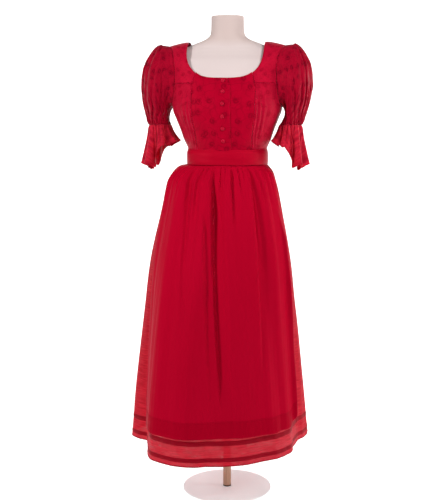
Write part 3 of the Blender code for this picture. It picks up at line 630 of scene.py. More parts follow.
def right_edge(z):
    """The lapped edge's x at a height: straight, then turning in on a parabola towards the neck."""
    share = held((np.asarray(z, float) - RIGHT_EDGE_TURN_Z) / RIGHT_EDGE_TURN)
    return RIGHT_EDGE_X + (RIGHT_EDGE_TOP_X - RIGHT_EDGE_X) * share**2


BUTTON_HEIGHTS_Z = (1.373, 1.339, 1.302, 1.263, 1.225, 1.187)
HANDS = (("right", -1), ("left", 1))


def centre_front(low_x, high_x, lap, columns=61, rows=131):
    """A centre front between two edges that are functions of height, from the waist to the neckline. The
    one on top is lifted by the lap, and dimpled under each button."""
    across = np.linspace(0, 1, columns)
    top_x = low_x(1.39) + (high_x(1.39) - low_x(1.39)) * across
    z = WAIST_Z + (neckline_z(top_x) - WAIST_Z) * np.linspace(0, 1, rows)[:, None]
    x = low_x(z) + (high_x(z) - low_x(z)) * across
    points = bodice_point(x, z - CHEST_TOP_Z, -1)
    points[..., 1] -= lap * held((x - LAP_START_X) / LAP_RUN)
    if lap:
        for button_z in BUTTON_HEIGHTS_Z:
            away = np.hypot(x, z - button_z) / 0.0085
            points[..., 1] += 0.0005 * bell(away)
    ease = 0.0006 * np.sin(z * 61 + 3 * np.sin(x * 40)) * np.sin(x * 47 + 1.3) * held((1.3 - z) / 0.1)
    points[..., 1] -= ease
    return points


right_front = centre_front(lambda z: SEAM - princess_x(z), right_edge, LAP)
left_front = centre_front(lambda z: LEFT_EDGE_X + 0 * z, lambda z: princess_x(z) - SEAM, 0.0)
for side, points in (("right", right_front), ("left", left_front)):
    points = turned_in(turned_in(points, ("left", "right")), ("high",), NECK_HUG, NECK_HUG_REACH)
    piece = cloth("front_centre_" + side, points, front_jacquard)
    stands_for(piece, "bodice_front_" + side)

# The gathers that the side fronts' seams draw up: share of the way out, strength, and the heights between
# which each one runs.
SIDE_GATHERS = (
    (0.05, 1.0, 1.16, 1.35), (0.14, -0.8, 1.15, 1.335), (0.22, 0.9, 1.175, 1.358),
    (0.32, -0.7, 1.165, 1.32), (0.41, 0.7, 1.19, 1.345), (0.52, -0.5, 1.2, 1.31),
    (0.63, 0.35, 1.205, 1.3),
)


def side_front(hand, columns=81, rows=111):
    """A side front from the princess seam to the side seam and armhole, with its gathers: bell-shaped
    ridges and troughs in the share of the way out, each faded at both ends."""
    z = np.linspace(WAIST_Z, FRONT_YOKE_Z - SEAM, rows)[:, None]
    rise = z - CHEST_TOP_Z
    inner = princess_x(z) + 2 * SEAM
    share = np.linspace(0, 1, columns)[None, :]
    points = bodice_point(hand * (inner + (side_edge(rise) - inner) * share), rise + 0 * share, -1)
    lift = 0 * (z + share)
    for at, strength, low, high in SIDE_GATHERS:
        wander = at + 0.012 * np.sin(z * 55 + 9 * at)
        run = held((z - low) / 0.03) * held((high - z) / 0.025)
        lift = lift + strength * run * bell((share - wander) / 0.04)
    if hand < 0:
        points, lift = points[:, ::-1], lift[:, ::-1]
    points = points + outward(points) * (0.0014 * lift)[..., None]
    points[..., 1] -= SEAM
    return points


for side, hand in HANDS:
    points = turned_in(side_front(hand), ("left", "right", "high"))
    piece = cloth("side_front_gathered_" + side, points, side_jacquard)
    stands_for(piece, "side_front_" + side)


def yoke(hand, columns=41, rows=(61, 41)):
    """A shoulder yoke: rows from the front yoke seam over the shoulder's top to the back yoke seam."""
    back_end = float(rise_of(BACK_YOKE_Z)) + SEAM
    forward = np.linspace(FRONT_YOKE_Z + SEAM - CHEST_TOP_Z, RIDGE, rows[0])
    behind = np.linspace(RIDGE, back_end, rows[1])[1:]
    share = np.linspace(0, 1, columns)
    halves = []
    for rise, facing in ((forward[:, None], -1), (behind[:, None], 1)):
        slope = (SHOULDER_TOP_Z - CHEST_TOP_Z) * np.sin(np.maximum(rise, 0) / SHOULDER_ARC)
        z = CHEST_TOP_Z + np.minimum(rise, 0) + slope
        if facing > 0:
            reach = held((z - BACK_YOKE_Z) / BACK_NECK_RISE) ** 0.5
            inner = BACK_NECK_X + (NECK_HALF_WIDTH - BACK_NECK_X) * reach
        else:
            inner = np.where(z < neckline_z(YOKE_CORNER_X), princess_x(z) + SEAM, neckline_x(z))
        x = inner + (smooth(ARMHOLE, "x", rise) - inner) * share
        halves.append(bodice_point(hand * x, rise + 0 * x, facing))
    points = np.concatenate(halves)
    return points if hand > 0 else points[:, ::-1]


for side, hand in HANDS:
    neck_edge = "right" if hand < 0 else "left"
    points = turned_in(yoke(hand), ("left", "right", "low", "high"))
    points = turned_in(points, (neck_edge,), NECK_HUG, NECK_HUG_REACH)
    piece = cloth("yoke_shoulder_" + side, points, yoke_jacquard)
    stands_for(piece, "yoke_" + side)

back_low = np.linspace(WAIST_Z - CHEST_TOP_Z, UNDERARM_Z - CHEST_TOP_Z, 45)[:-1]
back_high = np.linspace(UNDERARM_Z - CHEST_TOP_Z, float(rise_of(BACK_YOKE_Z)) - SEAM, 39)
back_rise = np.concatenate([back_low, back_high])[:, None]
back_x = -side_edge(back_rise) * np.sin(np.linspace(-1, 1, 141) * math.pi / 2)
back_points = bodice_point(back_x, back_rise + 0 * back_x, 1)
back_points[..., 1] += SEAM
for seam_x in (-0.062, 0.0, 0.062):
    shaped = seam_x * (1 + 1.1 * held((back_rise + 0.2) / 0.2) ** 2)
    back_points[..., 1] -= 0.0006 * bell((back_x - shaped) / 0.0016)
piece = cloth("back_panel", turned_in(back_points, ("left", "right", "high")), front_jacquard)
stands_for(piece, "bodice_back")

# Six domed buttons covered with the bodice's cloth, sewn down the lapped front: a low dome on a short
# shank, with the cover gathered under its rim.
BUTTON_RADIUS = 0.006
BUTTON_HEIGHT = 0.0045
BUTTON_GAP = 0.0002


def button_rings(z, segments=48):
    """A dome about the front's own slope: radius and height along a quarter circle, tucked in below."""
    seat = [bodice_point(np.array(0.0), np.array(h - CHEST_TOP_Z), -1) for h in (z - 0.004, z, z + 0.004)]
    slope = math.atan2(seat[2][1] - seat[0][1], seat[2][2] - seat[0][2])
    out = np.array([0.0, -math.cos(slope), math.sin(slope)])
    up = np.array([0.0, math.sin(slope), math.cos(slope)])
    middle = seat[1] - np.array([0.0, LAP, 0.0]) + out * BUTTON_GAP
    turn = np.linspace(0, math.pi / 2, 13)[:, None]
    dome_radius = 0.03 + 0.97 * np.cos(turn) ** 0.8
    dome_height = 0.28 + 0.7 * np.sin(turn)
    radius = np.concatenate([[[0.72], [0.84], [0.95]], dome_radius])
    height = np.concatenate([[[0.0], [0.03], [0.12]], dome_height])
    angle = full_turn(segments)
    radius = BUTTON_RADIUS * radius * (1 + 0.012 * np.cos(12 * angle) * held(1 - height / 0.5))
    aside = np.array([1.0, 0.0, 0.0])
    parts = ((BUTTON_HEIGHT * height, out), (radius * np.sin(angle), up), (radius * np.cos(angle), aside))
    return middle + sum(amount[..., None] * way for amount, way in parts)


covered, shader, spot = patterned("button_cover", "Object")
threads = noise(spot, (900.0, 900.0, 2600.0), 2.0)
tone = blend(threads, (0.38, 0.005, 0.023), (0.5, 0.009, 0.034))
surface(shader, tone, threads * 0.12 + 0.26, threads, 0.0002, 0.5)
red_lustre(shader, 0.5, 0.1)
for count, button_z in enumerate(BUTTON_HEIGHTS_Z, start=1):
    piece = closed_stack(f"button_covered_{count}", button_rings(button_z), covered)
    stands_for(piece, f"button_{count}")

# Sleeves: unlined jacquard gathered into the armhole and drawn in above the elbow, full between, so the
# gathers run the whole length as soft uneven folds.
SLEEVE_FOLDS = 21
SLEEVE_SWING = {"right": 0.008, "left": -0.011}
ARMHOLE_GAP = -0.0004
SLEEVE_CLOTH = 0.0008
SLEEVE = table("outer_x outer_z inner_x inner_z half_depth fold", [
    (0.192, 1.485, 0.179, 1.295, 0.066, 0.0005), (0.218, 1.489, 0.1835, 1.2885, 0.07, 0.0022),
    (0.251, 1.455, 0.1865, 1.2805, 0.076, 0.0032), (0.269, 1.408, 0.1885, 1.272, 0.077, 0.0036),
    (0.274, 1.356, 0.189, 1.264, 0.071, 0.0036), (0.269, 1.31, 0.188, 1.256, 0.061, 0.0034),
    (0.259, 1.27, 0.1855, 1.247, 0.05, 0.0028), (0.247, 1.2365, 0.181, 1.2365, 0.04, 0.0018),
])


def armhole_loop(segments):
    """The armhole's edge in even steps: over the shoulder's top, down behind, up in front."""
    bottom = UNDERARM_Z - CHEST_TOP_Z
    rise = bottom + (RIDGE - bottom) * (1 + np.cos(np.linspace(0, math.pi, 240))) / 2
    x = side_edge(rise)
    loop = np.concatenate([bodice_point(x, rise, 1), bodice_point(x, rise, -1)[::-1][1:-1]])
    ends = np.concatenate([loop, loop[:1]])
    length = np.concatenate([[0], np.cumsum(np.linalg.norm(np.diff(ends, axis=0), axis=1))])
    at = np.linspace(0, length[-1], segments, endpoint=False)
    return np.stack([np.interp(at, length, ends[:, k]) for k in range(3)], axis=-1)


def sleeve_rings(seed, segments=360, rows=64):
    """The wearer's left sleeve: ovals between its outer and inner lines, on a smooth curve down the table,
    blended into the armhole at the top. Its folds are rounded ridges with narrow valleys: the absolute
    value of a cosine of the angle about the arm's own upright axis, so they run down the arm, with a phase
    that wanders. Broad swells, crowded gathers at both ends and small dents are added."""
    angle = full_turn(segments)
    steps = np.arange(len(SLEEVE["fold"]), dtype=float)
    numbered = {"step": steps, **SLEEVE}
    at = np.linspace(0, steps[-1], rows)[:, None]
    value = {key: smooth(numbered, key, at) for key in SLEEVE}
    outer, inner = (points_at(value[line + "_x"], 0, value[line + "_z"]) for line in ("outer", "inner"))
    middle = (outer + inner) / 2
    depth = value["half_depth"][..., None] * np.array([0.0, 1.0, 0.0])
    oval = middle + np.cos(angle)[None, :, None] * (outer - inner) / 2 + np.sin(angle)[None, :, None] * depth
    head = armhole_loop(segments) + np.array([ARMHOLE_GAP, 0.0, 0.0])
    lean = np.array([0.02, 0.0, 0.002]) * (1 + np.cos(angle))[:, None] / 2
    head = head[None] + lean[None] * held(at)[..., None]
    share = np.where(at < 1, 1 - 0.55 * at, held(0.45 * (2 - at)) ** 1.5)[..., None]
    base = share * head + (1 - share) * oval
    down = at / steps[-1]
    axis_x = 0.232 - 0.02 * held((base[..., 2] - 1.4) / 0.09)
    about = np.arctan2(base[..., 1], base[..., 0] - axis_x)
    wander = seed + 1.1 * np.sin(2 * about + seed) + 0.7 * np.sin(3 * about + 5 * down)
    wander = wander + 0.6 * np.sin(5 * about - 13 * down)
    folds = 2 * np.abs(np.cos((SLEEVE_FOLDS * about + wander) / 2)) ** 0.7 - 1.1
    folds = folds * (1 + 0.6 * np.sin(4 * about + 6 * down + seed) * np.sin(7 * about - 4 * down))
    swell = np.cos(8 * about + 1.5 * np.sin(2 * about) + 2 * down + seed)
    gather = np.cos(38 * about + 2.1 * np.sin(3 * about + seed))
    ends = 0.6 * bell(down / 0.07) + 1.5 * bell((0.96 - down) / 0.07)
    dents = np.sin(26 * down + 5 * np.sin(3 * about)) * np.sin(17 * about + 9 * down + seed)
    outside = 0.65 + 0.35 * np.cos(about)
    height = value["fold"] * outside * (1.45 * folds + 0.55 * swell)
    height = height + (0.0015 * gather * ends + 0.0017 * dents * outside) * held(at * 4)
    out = base - middle
    out = out / np.linalg.norm(out, axis=-1, keepdims=True)
    return base + out * height[..., None]


def swing(points, side, share):
    """Hangs a sleeve's rings a little out or in, and puts the wearer's right one on -X."""
    points = points.copy()
    points[..., 0] += SLEEVE_SWING[side] * share
    if side == "right":
        points[..., 0] *= -1
    return points


# The sleeves take a darker copy of the bodice's red: painted shade.
sleeve_reds = (0.39, 0.0027, 0.021), (0.17, 0.0009, 0.01)
sleeve_jacquard = jacquard("sleeve_jacquard", 0.03, 1.9, *sleeve_reds, sheen=0.1, sprigs=0.6)
for (side, hand), seed in zip(HANDS, (0.4, 2.2)):
    points = sleeve_rings(seed)
    points = swing(points, side, (np.linspace(0, 1, len(points)) ** 1.5)[:, None])
    piece = cloth("sleeve_gathered_" + side, points, sleeve_jacquard, True, -hand, SLEEVE_CLOTH)
    stands_for(piece, "sleeve_" + side)
    "yoke_shoulder_" + side

# The ruffles: an unlined flounce sewn to the drawn-in sleeve, short inside the arm and long outside, that
# hangs in deep waves to pointed lobes and shows its bright inside.
RUFFLE_WAVES = 7
RUFFLE_OUTER_LENGTH = 0.136
RUFFLE_INNER_LENGTH = 0.062
RUFFLE_TUCK = 0.002
RUFFLE_INSET = 0.0006
RUFFLE_LEAN = 0.11
RUFFLE = table("along spread wave", [
    (0.0, 0.0, 0.0018), (0.3, 0.003, 0.005), (0.65, 0.0075, 0.009), (1.0, 0.0125, 0.012),
])


def ruffle_rings(segments=252, rows=40):
    """The wearer's left ruffle: rings that widen down the table, with waves that grow and sharpen into
    narrow troughs and broad lobes, and fine gathers just under the seam."""
    angle = full_turn(segments)
    along = np.linspace(0, 1, rows)[:, None]
    spread, wave = (smooth(RUFFLE, key, along) for key in ("spread", "wave"))
    row = {key: SLEEVE[key][-1] for key in SLEEVE}
    middle = (row["outer_x"] + row["inner_x"]) / 2
    half_width = (row["outer_x"] - row["inner_x"]) / 2
    outside = held(((1 + np.cos(angle)) / 2 - 0.15) / 0.7)
    outside = outside**2 * (3 - 2 * outside)
    length = RUFFLE_INNER_LENGTH + (RUFFLE_OUTER_LENGTH - RUFFLE_INNER_LENGTH) * outside
    phase = RUFFLE_WAVES * angle + 0.6 * np.sin(2 * angle)
    ripple = wave * (1 + 0.25 * along) * (np.cos(phase) + 0.35 * np.cos(2 * phase + 0.8) * along)
    fine = np.abs(np.cos(10.5 * angle + 1.4 * np.sin(3 * angle) + 0.8 * along)) ** 0.7 - 0.6
    fine = 0.0064 * fine * (1 + 0.5 * along) + 0.0009 * np.cos(38 * angle) * bell(along / 0.22)
    reach = spread * (0.92 - 0.27 * np.cos(angle)) + ripple + fine * held(along * 12)
    reach = reach - RUFFLE_INSET * bell(along / 0.03)
    leaning = angle + RUFFLE_LEAN * np.sin(phase) * np.sqrt(along)
    x = middle + (half_width + reach) * np.cos(leaning)
    y = (row["half_depth"] + reach) * np.sin(leaning)
    z = row["outer_z"] + RUFFLE_TUCK - along * (length + RUFFLE_TUCK) + 0.6 * ripple * along
    return points_at(x, y, z)


def lit_through(shader, colour, share):
    """Lets light through a thin cloth: that share of a translucent layer, mixed into its shader."""
    tree = shader.id_data
    glow = tree.nodes.new("ShaderNodeBsdfTranslucent")
    feed(glow.inputs["Color"], colour)
    mix = tree.nodes.new("ShaderNodeMixShader")
    mix.inputs[0].default_value = share
    tree.links.new(shader.outputs[0], mix.inputs[1])
    tree.links.new(glow.outputs[0], mix.inputs[2])
    tree.links.new(mix.outputs[0], tree.nodes["Material Output"].inputs["Surface"])


flounce, shader, uv = patterned("ruffle_cloth", "UV")
crepe = noise(uv, (700.0, 240.0, 1.0), 4.0)
crushed = noise(uv, (22.0, 64.0, 1.0)) * 2.6 + crepe * 0.8 - 1.2
tone = blend(crushed, (0.38, 0.005, 0.028), (0.8, 0.028, 0.066))
tone = blend(curls(uv, 0.019, 4.4) * 0.55, tone, (0.28, 0.002, 0.016))
surface(shader, tone, 0.5, crepe, 0.0004, 0.6)
red_lustre(shader, 0.3, 0.15)
lit_through(shader, (0.95, 0.02, 0.06), 0.34)
for side, hand in HANDS:
    points = swing(ruffle_rings(), side, 1.0)
    piece = cloth("ruffle_" + side, points[::-1], flounce, True, hand, SLEEVE_CLOTH)
    stands_for(piece, "sleeve_ruffle_" + side)
    "sleeve_gathered_" + side

# The skirt: one layer of thin unlined linen-like cloth, front and back gathered to the waist and sewn at
# the sides, with a seam down centre front and two folded tucks and a rolled edge round the hem.
BAND_BOTTOM_Z = 1.11
HEM_Z = 0.185
APRON_HEM_Z = 0.273
APRON_TOP_Z = BAND_BOTTOM_Z - SEAM
SKIRT_CLOTH = 0.0007
SIDE_SEAM_DEG = 0.15
SKIRT_SQUARENESS = 2.2
SKIRT = table("z half_width front back sway growth", [
    (HEM_Z, 0.308, 0.268, 0.275, 0.021, 1.0), (0.388, 0.287, 0.248, 0.26, 0.022, 0.86),
    (0.624, 0.258, 0.222, 0.236, 0.022, 0.62), (0.795, 0.236, 0.195, 0.21, 0.021, 0.42),
    (0.967, 0.198, 0.162, 0.176, 0.018, 0.2), (1.058, 0.1755, 0.136, 0.145, 0.0185, 0.08),
    (1.085, 0.162, 0.122, 0.129, 0.0145, 0.03), (1.1, 0.149, 0.109, 0.113, 0.0125, 0.0),
    (1.107, 0.139, 0.101, 0.103, 0.008, 0.0), (1.1095, 0.1275, 0.0955, 0.0955, 0.001, 0.0),
    (1.1355, 0.1262, 0.0945, 0.0945, 0.0, 0.0),
])
HEM_PLAN_START_DEG = -138.0
HEM_PLAN = table("degrees radius", [
    (-124, 0.272), (-110, 0.292), (-100, 0.308), (-90, 0.308), (-82, 0.282), (-76, 0.25), (-66, 0.25),
    (-52, 0.276), (-38, 0.303), (-25, 0.303), (-12, 0.294), (0, 0.272), (12, 0.268), (25, 0.264),
    (38, 0.258), (52, 0.266), (66, 0.266), (80, 0.252), (92, 0.257), (104, 0.292), (114, 0.31),
    (126, 0.29), (138, 0.264), (152, 0.29), (166, 0.285), (180, 0.262), (194, 0.288), (208, 0.268),
    (222, 0.292),
])


def plain_radius(degrees, z):
    """The skirt's radius without folds: a rounded ring met along a ray from the middle."""
    angle = np.radians(degrees)
    half_width, front, back = (smooth(SKIRT, key, z) for key in RING_SIZES[:3])
    depth = np.where(np.cos(angle) > 0, front, back)
    along, across = np.abs(np.cos(angle) / depth), np.abs(np.sin(angle) / half_width)
    return (across**SKIRT_SQUARENESS + along**SKIRT_SQUARENESS) ** (-1 / SKIRT_SQUARENESS)


HEM_LOOP = {key: np.concatenate([column[-1:], column]) for key, column in HEM_PLAN.items()}
HEM_LOOP["degrees"][0] -= 360


def skirt_radius(degrees, z):
    """The skirt's radius with the long folds, which grow from the waist into the hem's own plan."""
    wrapped = (np.asarray(degrees, float) - HEM_PLAN_START_DEG) % 360 + HEM_PLAN_START_DEG
    hem = smooth(HEM_LOOP, "radius", wrapped) / plain_radius(degrees, HEM_Z)
    return plain_radius(degrees, z) * (1 + smooth(SKIRT, "growth", z) * (hem - 1))


def skirt_grid(degrees, z, add):
    """Points of the skirt at those angles and heights, moved outwards by add."""
    angle = np.radians(degrees)
    radius = skirt_radius(degrees, z) + add
    x = radius * np.sin(angle) - smooth(SKIRT, "sway", z)
    return points_at(x, -radius * np.cos(angle), z)


def gathers(degrees, z, count, span, height, reach=0.3):
    """Small gathers that are strongest just below the waist and gone at that reach below it."""
    below = APRON_TOP_Z - z
    fade = held(0.45 + below / 0.02) * held(1 - below / reach) ** 1.5
    phase = degrees * count / span * 2 * math.pi
    return height * fade * np.cos(phase) * (1 + 0.3 * np.sin(phase / 3.7))


def crinkle(degrees, z, size):
    """Soft uneven dents of hanging cloth: a few waves across each other that fade at the waist."""
    a = np.sin(0.31 * degrees + 9 * z + 1.7 * np.sin(6 * z)) * np.sin(14 * z + 0.11 * degrees)
    b = np.sin(0.83 * degrees - 5 * z + 2.0) * np.sin(5.5 * z + 0.9 + 0.05 * degrees)
    c = np.sin(1.9 * degrees + 4 * np.sin(3.1 * z)) * held((1.0 - z) / 0.5) * 0.35
    return size * (a + b + c) * held((1.05 - z) / 0.2)


# Pleats laid on the apron, each a raised panel that drops steeply towards the wearer's left:
# degrees at the top and at the foot, height at the top and at the foot, how high the step is, and over
# how many degrees the cloth climbs again. The skirt gives way under the deepest.
APRON_PLEATS = (
    (-61, -63, 1.107, 0.96, 0.003, 3.0), (-53, -54, 1.107, 0.86, 0.004, 4.0),
    (-45, -45, 1.107, 0.98, 0.005, 3.0), (-37, -22, 1.108, 0.62, 0.019, 7.0),
    (-23.5, -22, 1.108, 0.93, 0.012, 2.6), (-17, -14, 1.108, 0.97, 0.008, 3.2),
    (-9, -5, 1.108, 1.01, 0.009, 2.6), (-10, 2, 0.96, 0.25, 0.015, 7.0),
    (-6.5, 12, 1.108, 0.05, 0.035, 9.0), (3, 7, 1.108, 0.99, 0.011, 3.0),
    (10, 11, 1.108, 1.04, 0.005, 2.4), (18, 20, 1.11, 0.93, 0.017, 5.0),
    (27, 30, 1.108, 1.0, 0.009, 3.2), (33, 34, 1.108, 1.05, 0.005, 2.4),
    (42, 38, 1.106, 0.38, 0.017, 5.0), (50, 53, 1.108, 0.96, 0.01, 3.5),
    (60, 62, 1.108, 0.93, 0.008, 3.2), (68, 68, 1.108, 0.98, 0.004, 2.6),
)
PLEAT_EDGE_DEG = 0.28
PLEAT_ROOM = 0.006


def laid_pleats(degrees, z):
    """The sum of the pleats, each faded at both ends. Across its line the height falls on an S curve, then
    climbs back on a bell curve; on the other side it has swelled, most of all near the waist."""
    total = 0 * (degrees + z)
    for top, foot, high, low, step, climb in APRON_PLEATS:
        down = held((high - z) / (high - low))
        past = degrees - top - (foot - top) * down**0.8
        fade = held((high - z) / (0.45 * climb * step)) ** 0.7 * held((1 - down) / 0.45) ** 0.8
        edge = PLEAT_EDGE_DEG * (1 + 1.4 * down)
        dropped = 1 / (1 + np.exp(-np.clip(past / edge, -30, 30)))
        reach = climb * (0.6 + 0.5 * held(3 * down))
        trough = dropped * bell(np.maximum(past, 0) / reach)
        lower = held(2.5 * down)
        swell = (1 - dropped) * np.exp(-((np.maximum(-past, 0) / climb) ** (1.3 + 0.9 * lower)))
        total = total + step * fade * (0.45 * (1 - 0.85 * lower) * swell - 0.55 * trough)
    return total


def give_way(degrees, z):
    """How far the skirt is pressed in under the apron's deepest pleats: what they lack in room, faded out
    above the apron's lower edge, where the skirt shows."""
    return np.minimum(laid_pleats(degrees, z) + PLEAT_ROOM, 0) * held((z - 0.34) / 0.12)


LOW_TUCK_UP = 0.021
HIGH_TUCK_UP = 0.073


def hem_tucks(up):
    """How far the two folded tucks and the rolled edge stand out, by the height above the hem: each a
    rounded ridge, the square root of a peak with straight sides."""
    ridges = (LOW_TUCK_UP, 0.0065, 0.0009), (HIGH_TUCK_UP, 0.007, 0.0009), (0, 0.0035, 0.0006)
    return sum(height * held(1 - np.abs(up - at) / half) ** 0.5 for at, half, height in ridges)


sheer, shader, uv = patterned("skirt_linen", "UV")
up = parts_of(uv)[1]
threads = noise(uv, (1500.0, 160.0, 1.0))
slubs = noise(uv, (70.0, 1300.0, 1.0), 4.0)
patches = noise(uv, (30.0, 42.0, 1.0), 4.0)
streaks = noise(uv, (20.0, 230.0, 1.0)) * 3.2 - 1.1
weave = threads * 0.25 + slubs * 0.25 + streaks * 0.5
low_tuck = between(up, LOW_TUCK_UP - 0.006, LOW_TUCK_UP + 0.006, 0.0012)
high_tuck = between(up, HIGH_TUCK_UP - 0.007, HIGH_TUCK_UP + 0.007, 0.0014)
folded = low_tuck.most(high_tuck).most(between(up, -0.01, 0.0026, 0.001))
tone = blend(weave, (0.34, 0.002, 0.018), (0.74, 0.042, 0.076))
surface(shader, blend(folded * 0.75, tone, (0.33, 0.001, 0.012)), 0.58, weave, 0.0005, 0.5)
red_lustre(shader, 0.14, 0.04)
holes = (1.1 - weave) * patches * 0.62 * (1.0 - folded)
feed(shader.inputs["Alpha"], 1.0 - holes)
lit_through(shader, blend(folded, (0.98, 0.035, 0.08), (0.45, 0.002, 0.015)), 0.38)

edge_up = [0, 0.0015, 0.0035, 0.008]
low_tuck_up = [LOW_TUCK_UP + part for part in (-0.007, -0.005, 0, 0.005, 0.007, 0.024)]
high_tuck_up = [HIGH_TUCK_UP + part for part in (-0.0075, -0.0055, 0, 0.0055, 0.0075)]
hem_rows_z = HEM_Z + np.array(edge_up + low_tuck_up + high_tuck_up)
waist_rows_z = np.concatenate([np.linspace(1.025, APRON_TOP_Z, 29), [WAIST_Z - 2 * SEAM]])
skirt_z = np.concatenate([hem_rows_z, np.linspace(0.28, 1.02, 75), waist_rows_z])[:, None]
front_degrees = np.linspace(-90, 90, 181)[None, :]
front_lift = gathers(front_degrees, skirt_z, 10, 180, 0.0008) + hem_tucks(skirt_z - HEM_Z)
front_lift = front_lift + crinkle(front_degrees, skirt_z, 0.0006) + give_way(front_degrees, skirt_z)
front_lift = front_lift - 0.0006 * bell(front_degrees / 0.35)
front_points = skirt_grid(front_degrees * (90 - SIDE_SEAM_DEG) / 90, skirt_z, front_lift)
piece = cloth("skirt_front_panel", front_points, sheer, thickness=SKIRT_CLOTH)
stands_for(piece, "skirt_front")

back_degrees = np.linspace(90 + SIDE_SEAM_DEG, 270 - SIDE_SEAM_DEG, 271)[None, :]
back_lift = gathers(back_degrees - 90, skirt_z, 13, 180, 0.0022) + hem_tucks(skirt_z - HEM_Z)
back_lift = back_lift + gathers(back_degrees - 90, skirt_z, 29, 180, 0.0009)
back_lift = back_lift + crinkle(back_degrees, skirt_z, 0.0012)
back_points = skirt_grid(back_degrees, skirt_z, back_lift)
piece = cloth("skirt_back_panel", back_points, sheer, thickness=SKIRT_CLOTH)
stands_for(piece, "skirt_back")

# The apron: fine opaque cotton with a silky bloom, gathered to the band, with rounded lower corners, a
# deep hem stitched 53 mm up, and narrow side hems whose left edge curls forward to the light.
APRON_RIGHT_DEG = -69.0
APRON_LEFT_DEG = 76.0
APRON_CORNER = 0.055
APRON_CORNER_DEG = 14.0
APRON_STAND_TOP = 0.0048
APRON_STAND_LOW = 0.0105
APRON_STAND_RUN = 0.05
APRON_CLOTH = 0.0009
APRON_CLEAR = 0.0018
EDGE_CURL = 0.013
EDGE_CURL_DEG = 3.2
EDGE_CURL_WIDTH = 1.9
TURN_UP = 0.053
SECOND_ROW = 0.05
APRON_FOLDS = table("degrees lean half_width waist knee hem", [
    (-59, -2, 5, -0.004, -0.002, 0.0), (-42, 8, 6, 0.004, 0.003, 0.002),
    (-31, 3, 4, -0.006, -0.004, -0.002), (-25, 1, 3, 0.003, 0.001, 0.0),
    (-19, 1, 3, -0.004, 0.0, 0.0), (-10, -6, 6, 0.005, 0.006, 0.004), (1, 8, 7, -0.009, -0.012, -0.01),
    (12, 2, 4, 0.004, 0.002, 0.001), (21, 2, 4, -0.005, -0.001, 0.0), (34, 11, 6, 0.005, 0.007, 0.006),
    (45, 9, 6, -0.006, -0.005, -0.004), (54, 6, 5, 0.004, 0.003, 0.002), (64, 4, 5, -0.004, -0.004, -0.003),
])


def apron_folds(degrees, z):
    """The sum of the apron's long ridges and valleys: bell curves of the angle whose height goes from its
    size at the waist to its size at the knee and then at the hem."""
    below = held((APRON_TOP_Z - z) / 0.08)
    down = held((1.0 - z) / (1.0 - APRON_HEM_Z))
    total = 0 * degrees * z
    for at, lean, half_width, waist, knee, hem in zip(*APRON_FOLDS.values()):
        upper = waist + (knee - waist) * held(down * 2)
        height = upper + (hem - knee) * held(down * 2 - 1)
        away = (degrees - at - lean * down) / half_width
        total = total + below * height * bell(away)
    return total


def apron_edge(degrees):
    """The apron's lower edge: level, with rounded corners."""
    side = np.minimum(degrees - APRON_RIGHT_DEG, APRON_LEFT_DEG - degrees)
    return APRON_HEM_Z + APRON_CORNER * held(1 - side / APRON_CORNER_DEG) ** 2.5


def apron_points(degrees, share):
    """The apron over the skirt's own points, moved out; share 0 is its lower edge and 1 the band."""
    low = apron_edge(degrees)
    z = low + (APRON_TOP_Z - low) * share
    below = held((APRON_TOP_Z - z) / APRON_STAND_RUN)
    stand = APRON_STAND_TOP + (APRON_STAND_LOW - APRON_STAND_TOP) * below
    small = gathers(degrees, z, 31, APRON_LEFT_DEG - APRON_RIGHT_DEG, 0.0022, 0.11)
    folds = apron_folds(degrees, z) + small * below
    fine = laid_pleats(degrees, z) + crinkle(degrees, z, 0.0005)
    up = z - low
    stitched = bell((up - TURN_UP) / 0.0012) + 0.6 * bell((up - SECOND_ROW) / 0.0012)
    puckers = 0.0004 * np.sin(degrees * 7.3 + 3 * np.sin(degrees)) * bell((up - 0.052) / 0.009)
    curl = bell((degrees - APRON_LEFT_DEG + EDGE_CURL_DEG) / EDGE_CURL_WIDTH) * held((1.0 - z) / 0.12)
    curl = EDGE_CURL * curl * (1 + 0.12 * np.sin(21 * z))
    stood = np.maximum(stand + folds + fine, APRON_CLEAR + give_way(degrees, z)) + curl
    return skirt_grid(degrees, z, stood - 0.0005 * stitched + puckers)


STITCH_RED = (0.25, 0.0005, 0.008)

silk, shader, uv = patterned("apron_silk", "UV")
across, up, _ = parts_of(uv)
weave = noise(uv, (1400.0, 150.0, 1.0)) * 0.5 + noise(uv, (55.0, 1500.0, 1.0)) * 0.5
tone = blend(noise(uv, (6.0, 3.0, 1.0)), (0.39, 0.0005, 0.015), (0.45, 0.001, 0.02))
tone = blend(weave * 0.25, tone, (0.52, 0.004, 0.026))
doubled_hem = between(up, -0.01, SECOND_ROW, 0.0008)
tone = blend(doubled_hem * 0.6, tone, (0.33, 0.0004, 0.012))
# Painted highlight: a pale pink strip along the apron's left edge, from 2 to 21 mm in and up to 0.6 m, where
# the curled edge would catch the light.
painted_edge_highlight = between(across, -0.021, -0.002, 0.005) * between(up, 0.0, 0.6, 0.1)
tone = blend(painted_edge_highlight * 0.8, tone, (0.66, 0.06, 0.09))
stitches = between(up, TURN_UP - 0.0006, TURN_UP + 0.0006, 0.0004)
stitches = stitches.most(between(up, SECOND_ROW - 0.0005, SECOND_ROW + 0.0003, 0.0004))
surface(shader, blend(stitches * 0.6, tone, STITCH_RED), weave * 0.14 + 0.42, weave, 0.0003, 0.4)
red_lustre(shader, 0.01, 0.0)

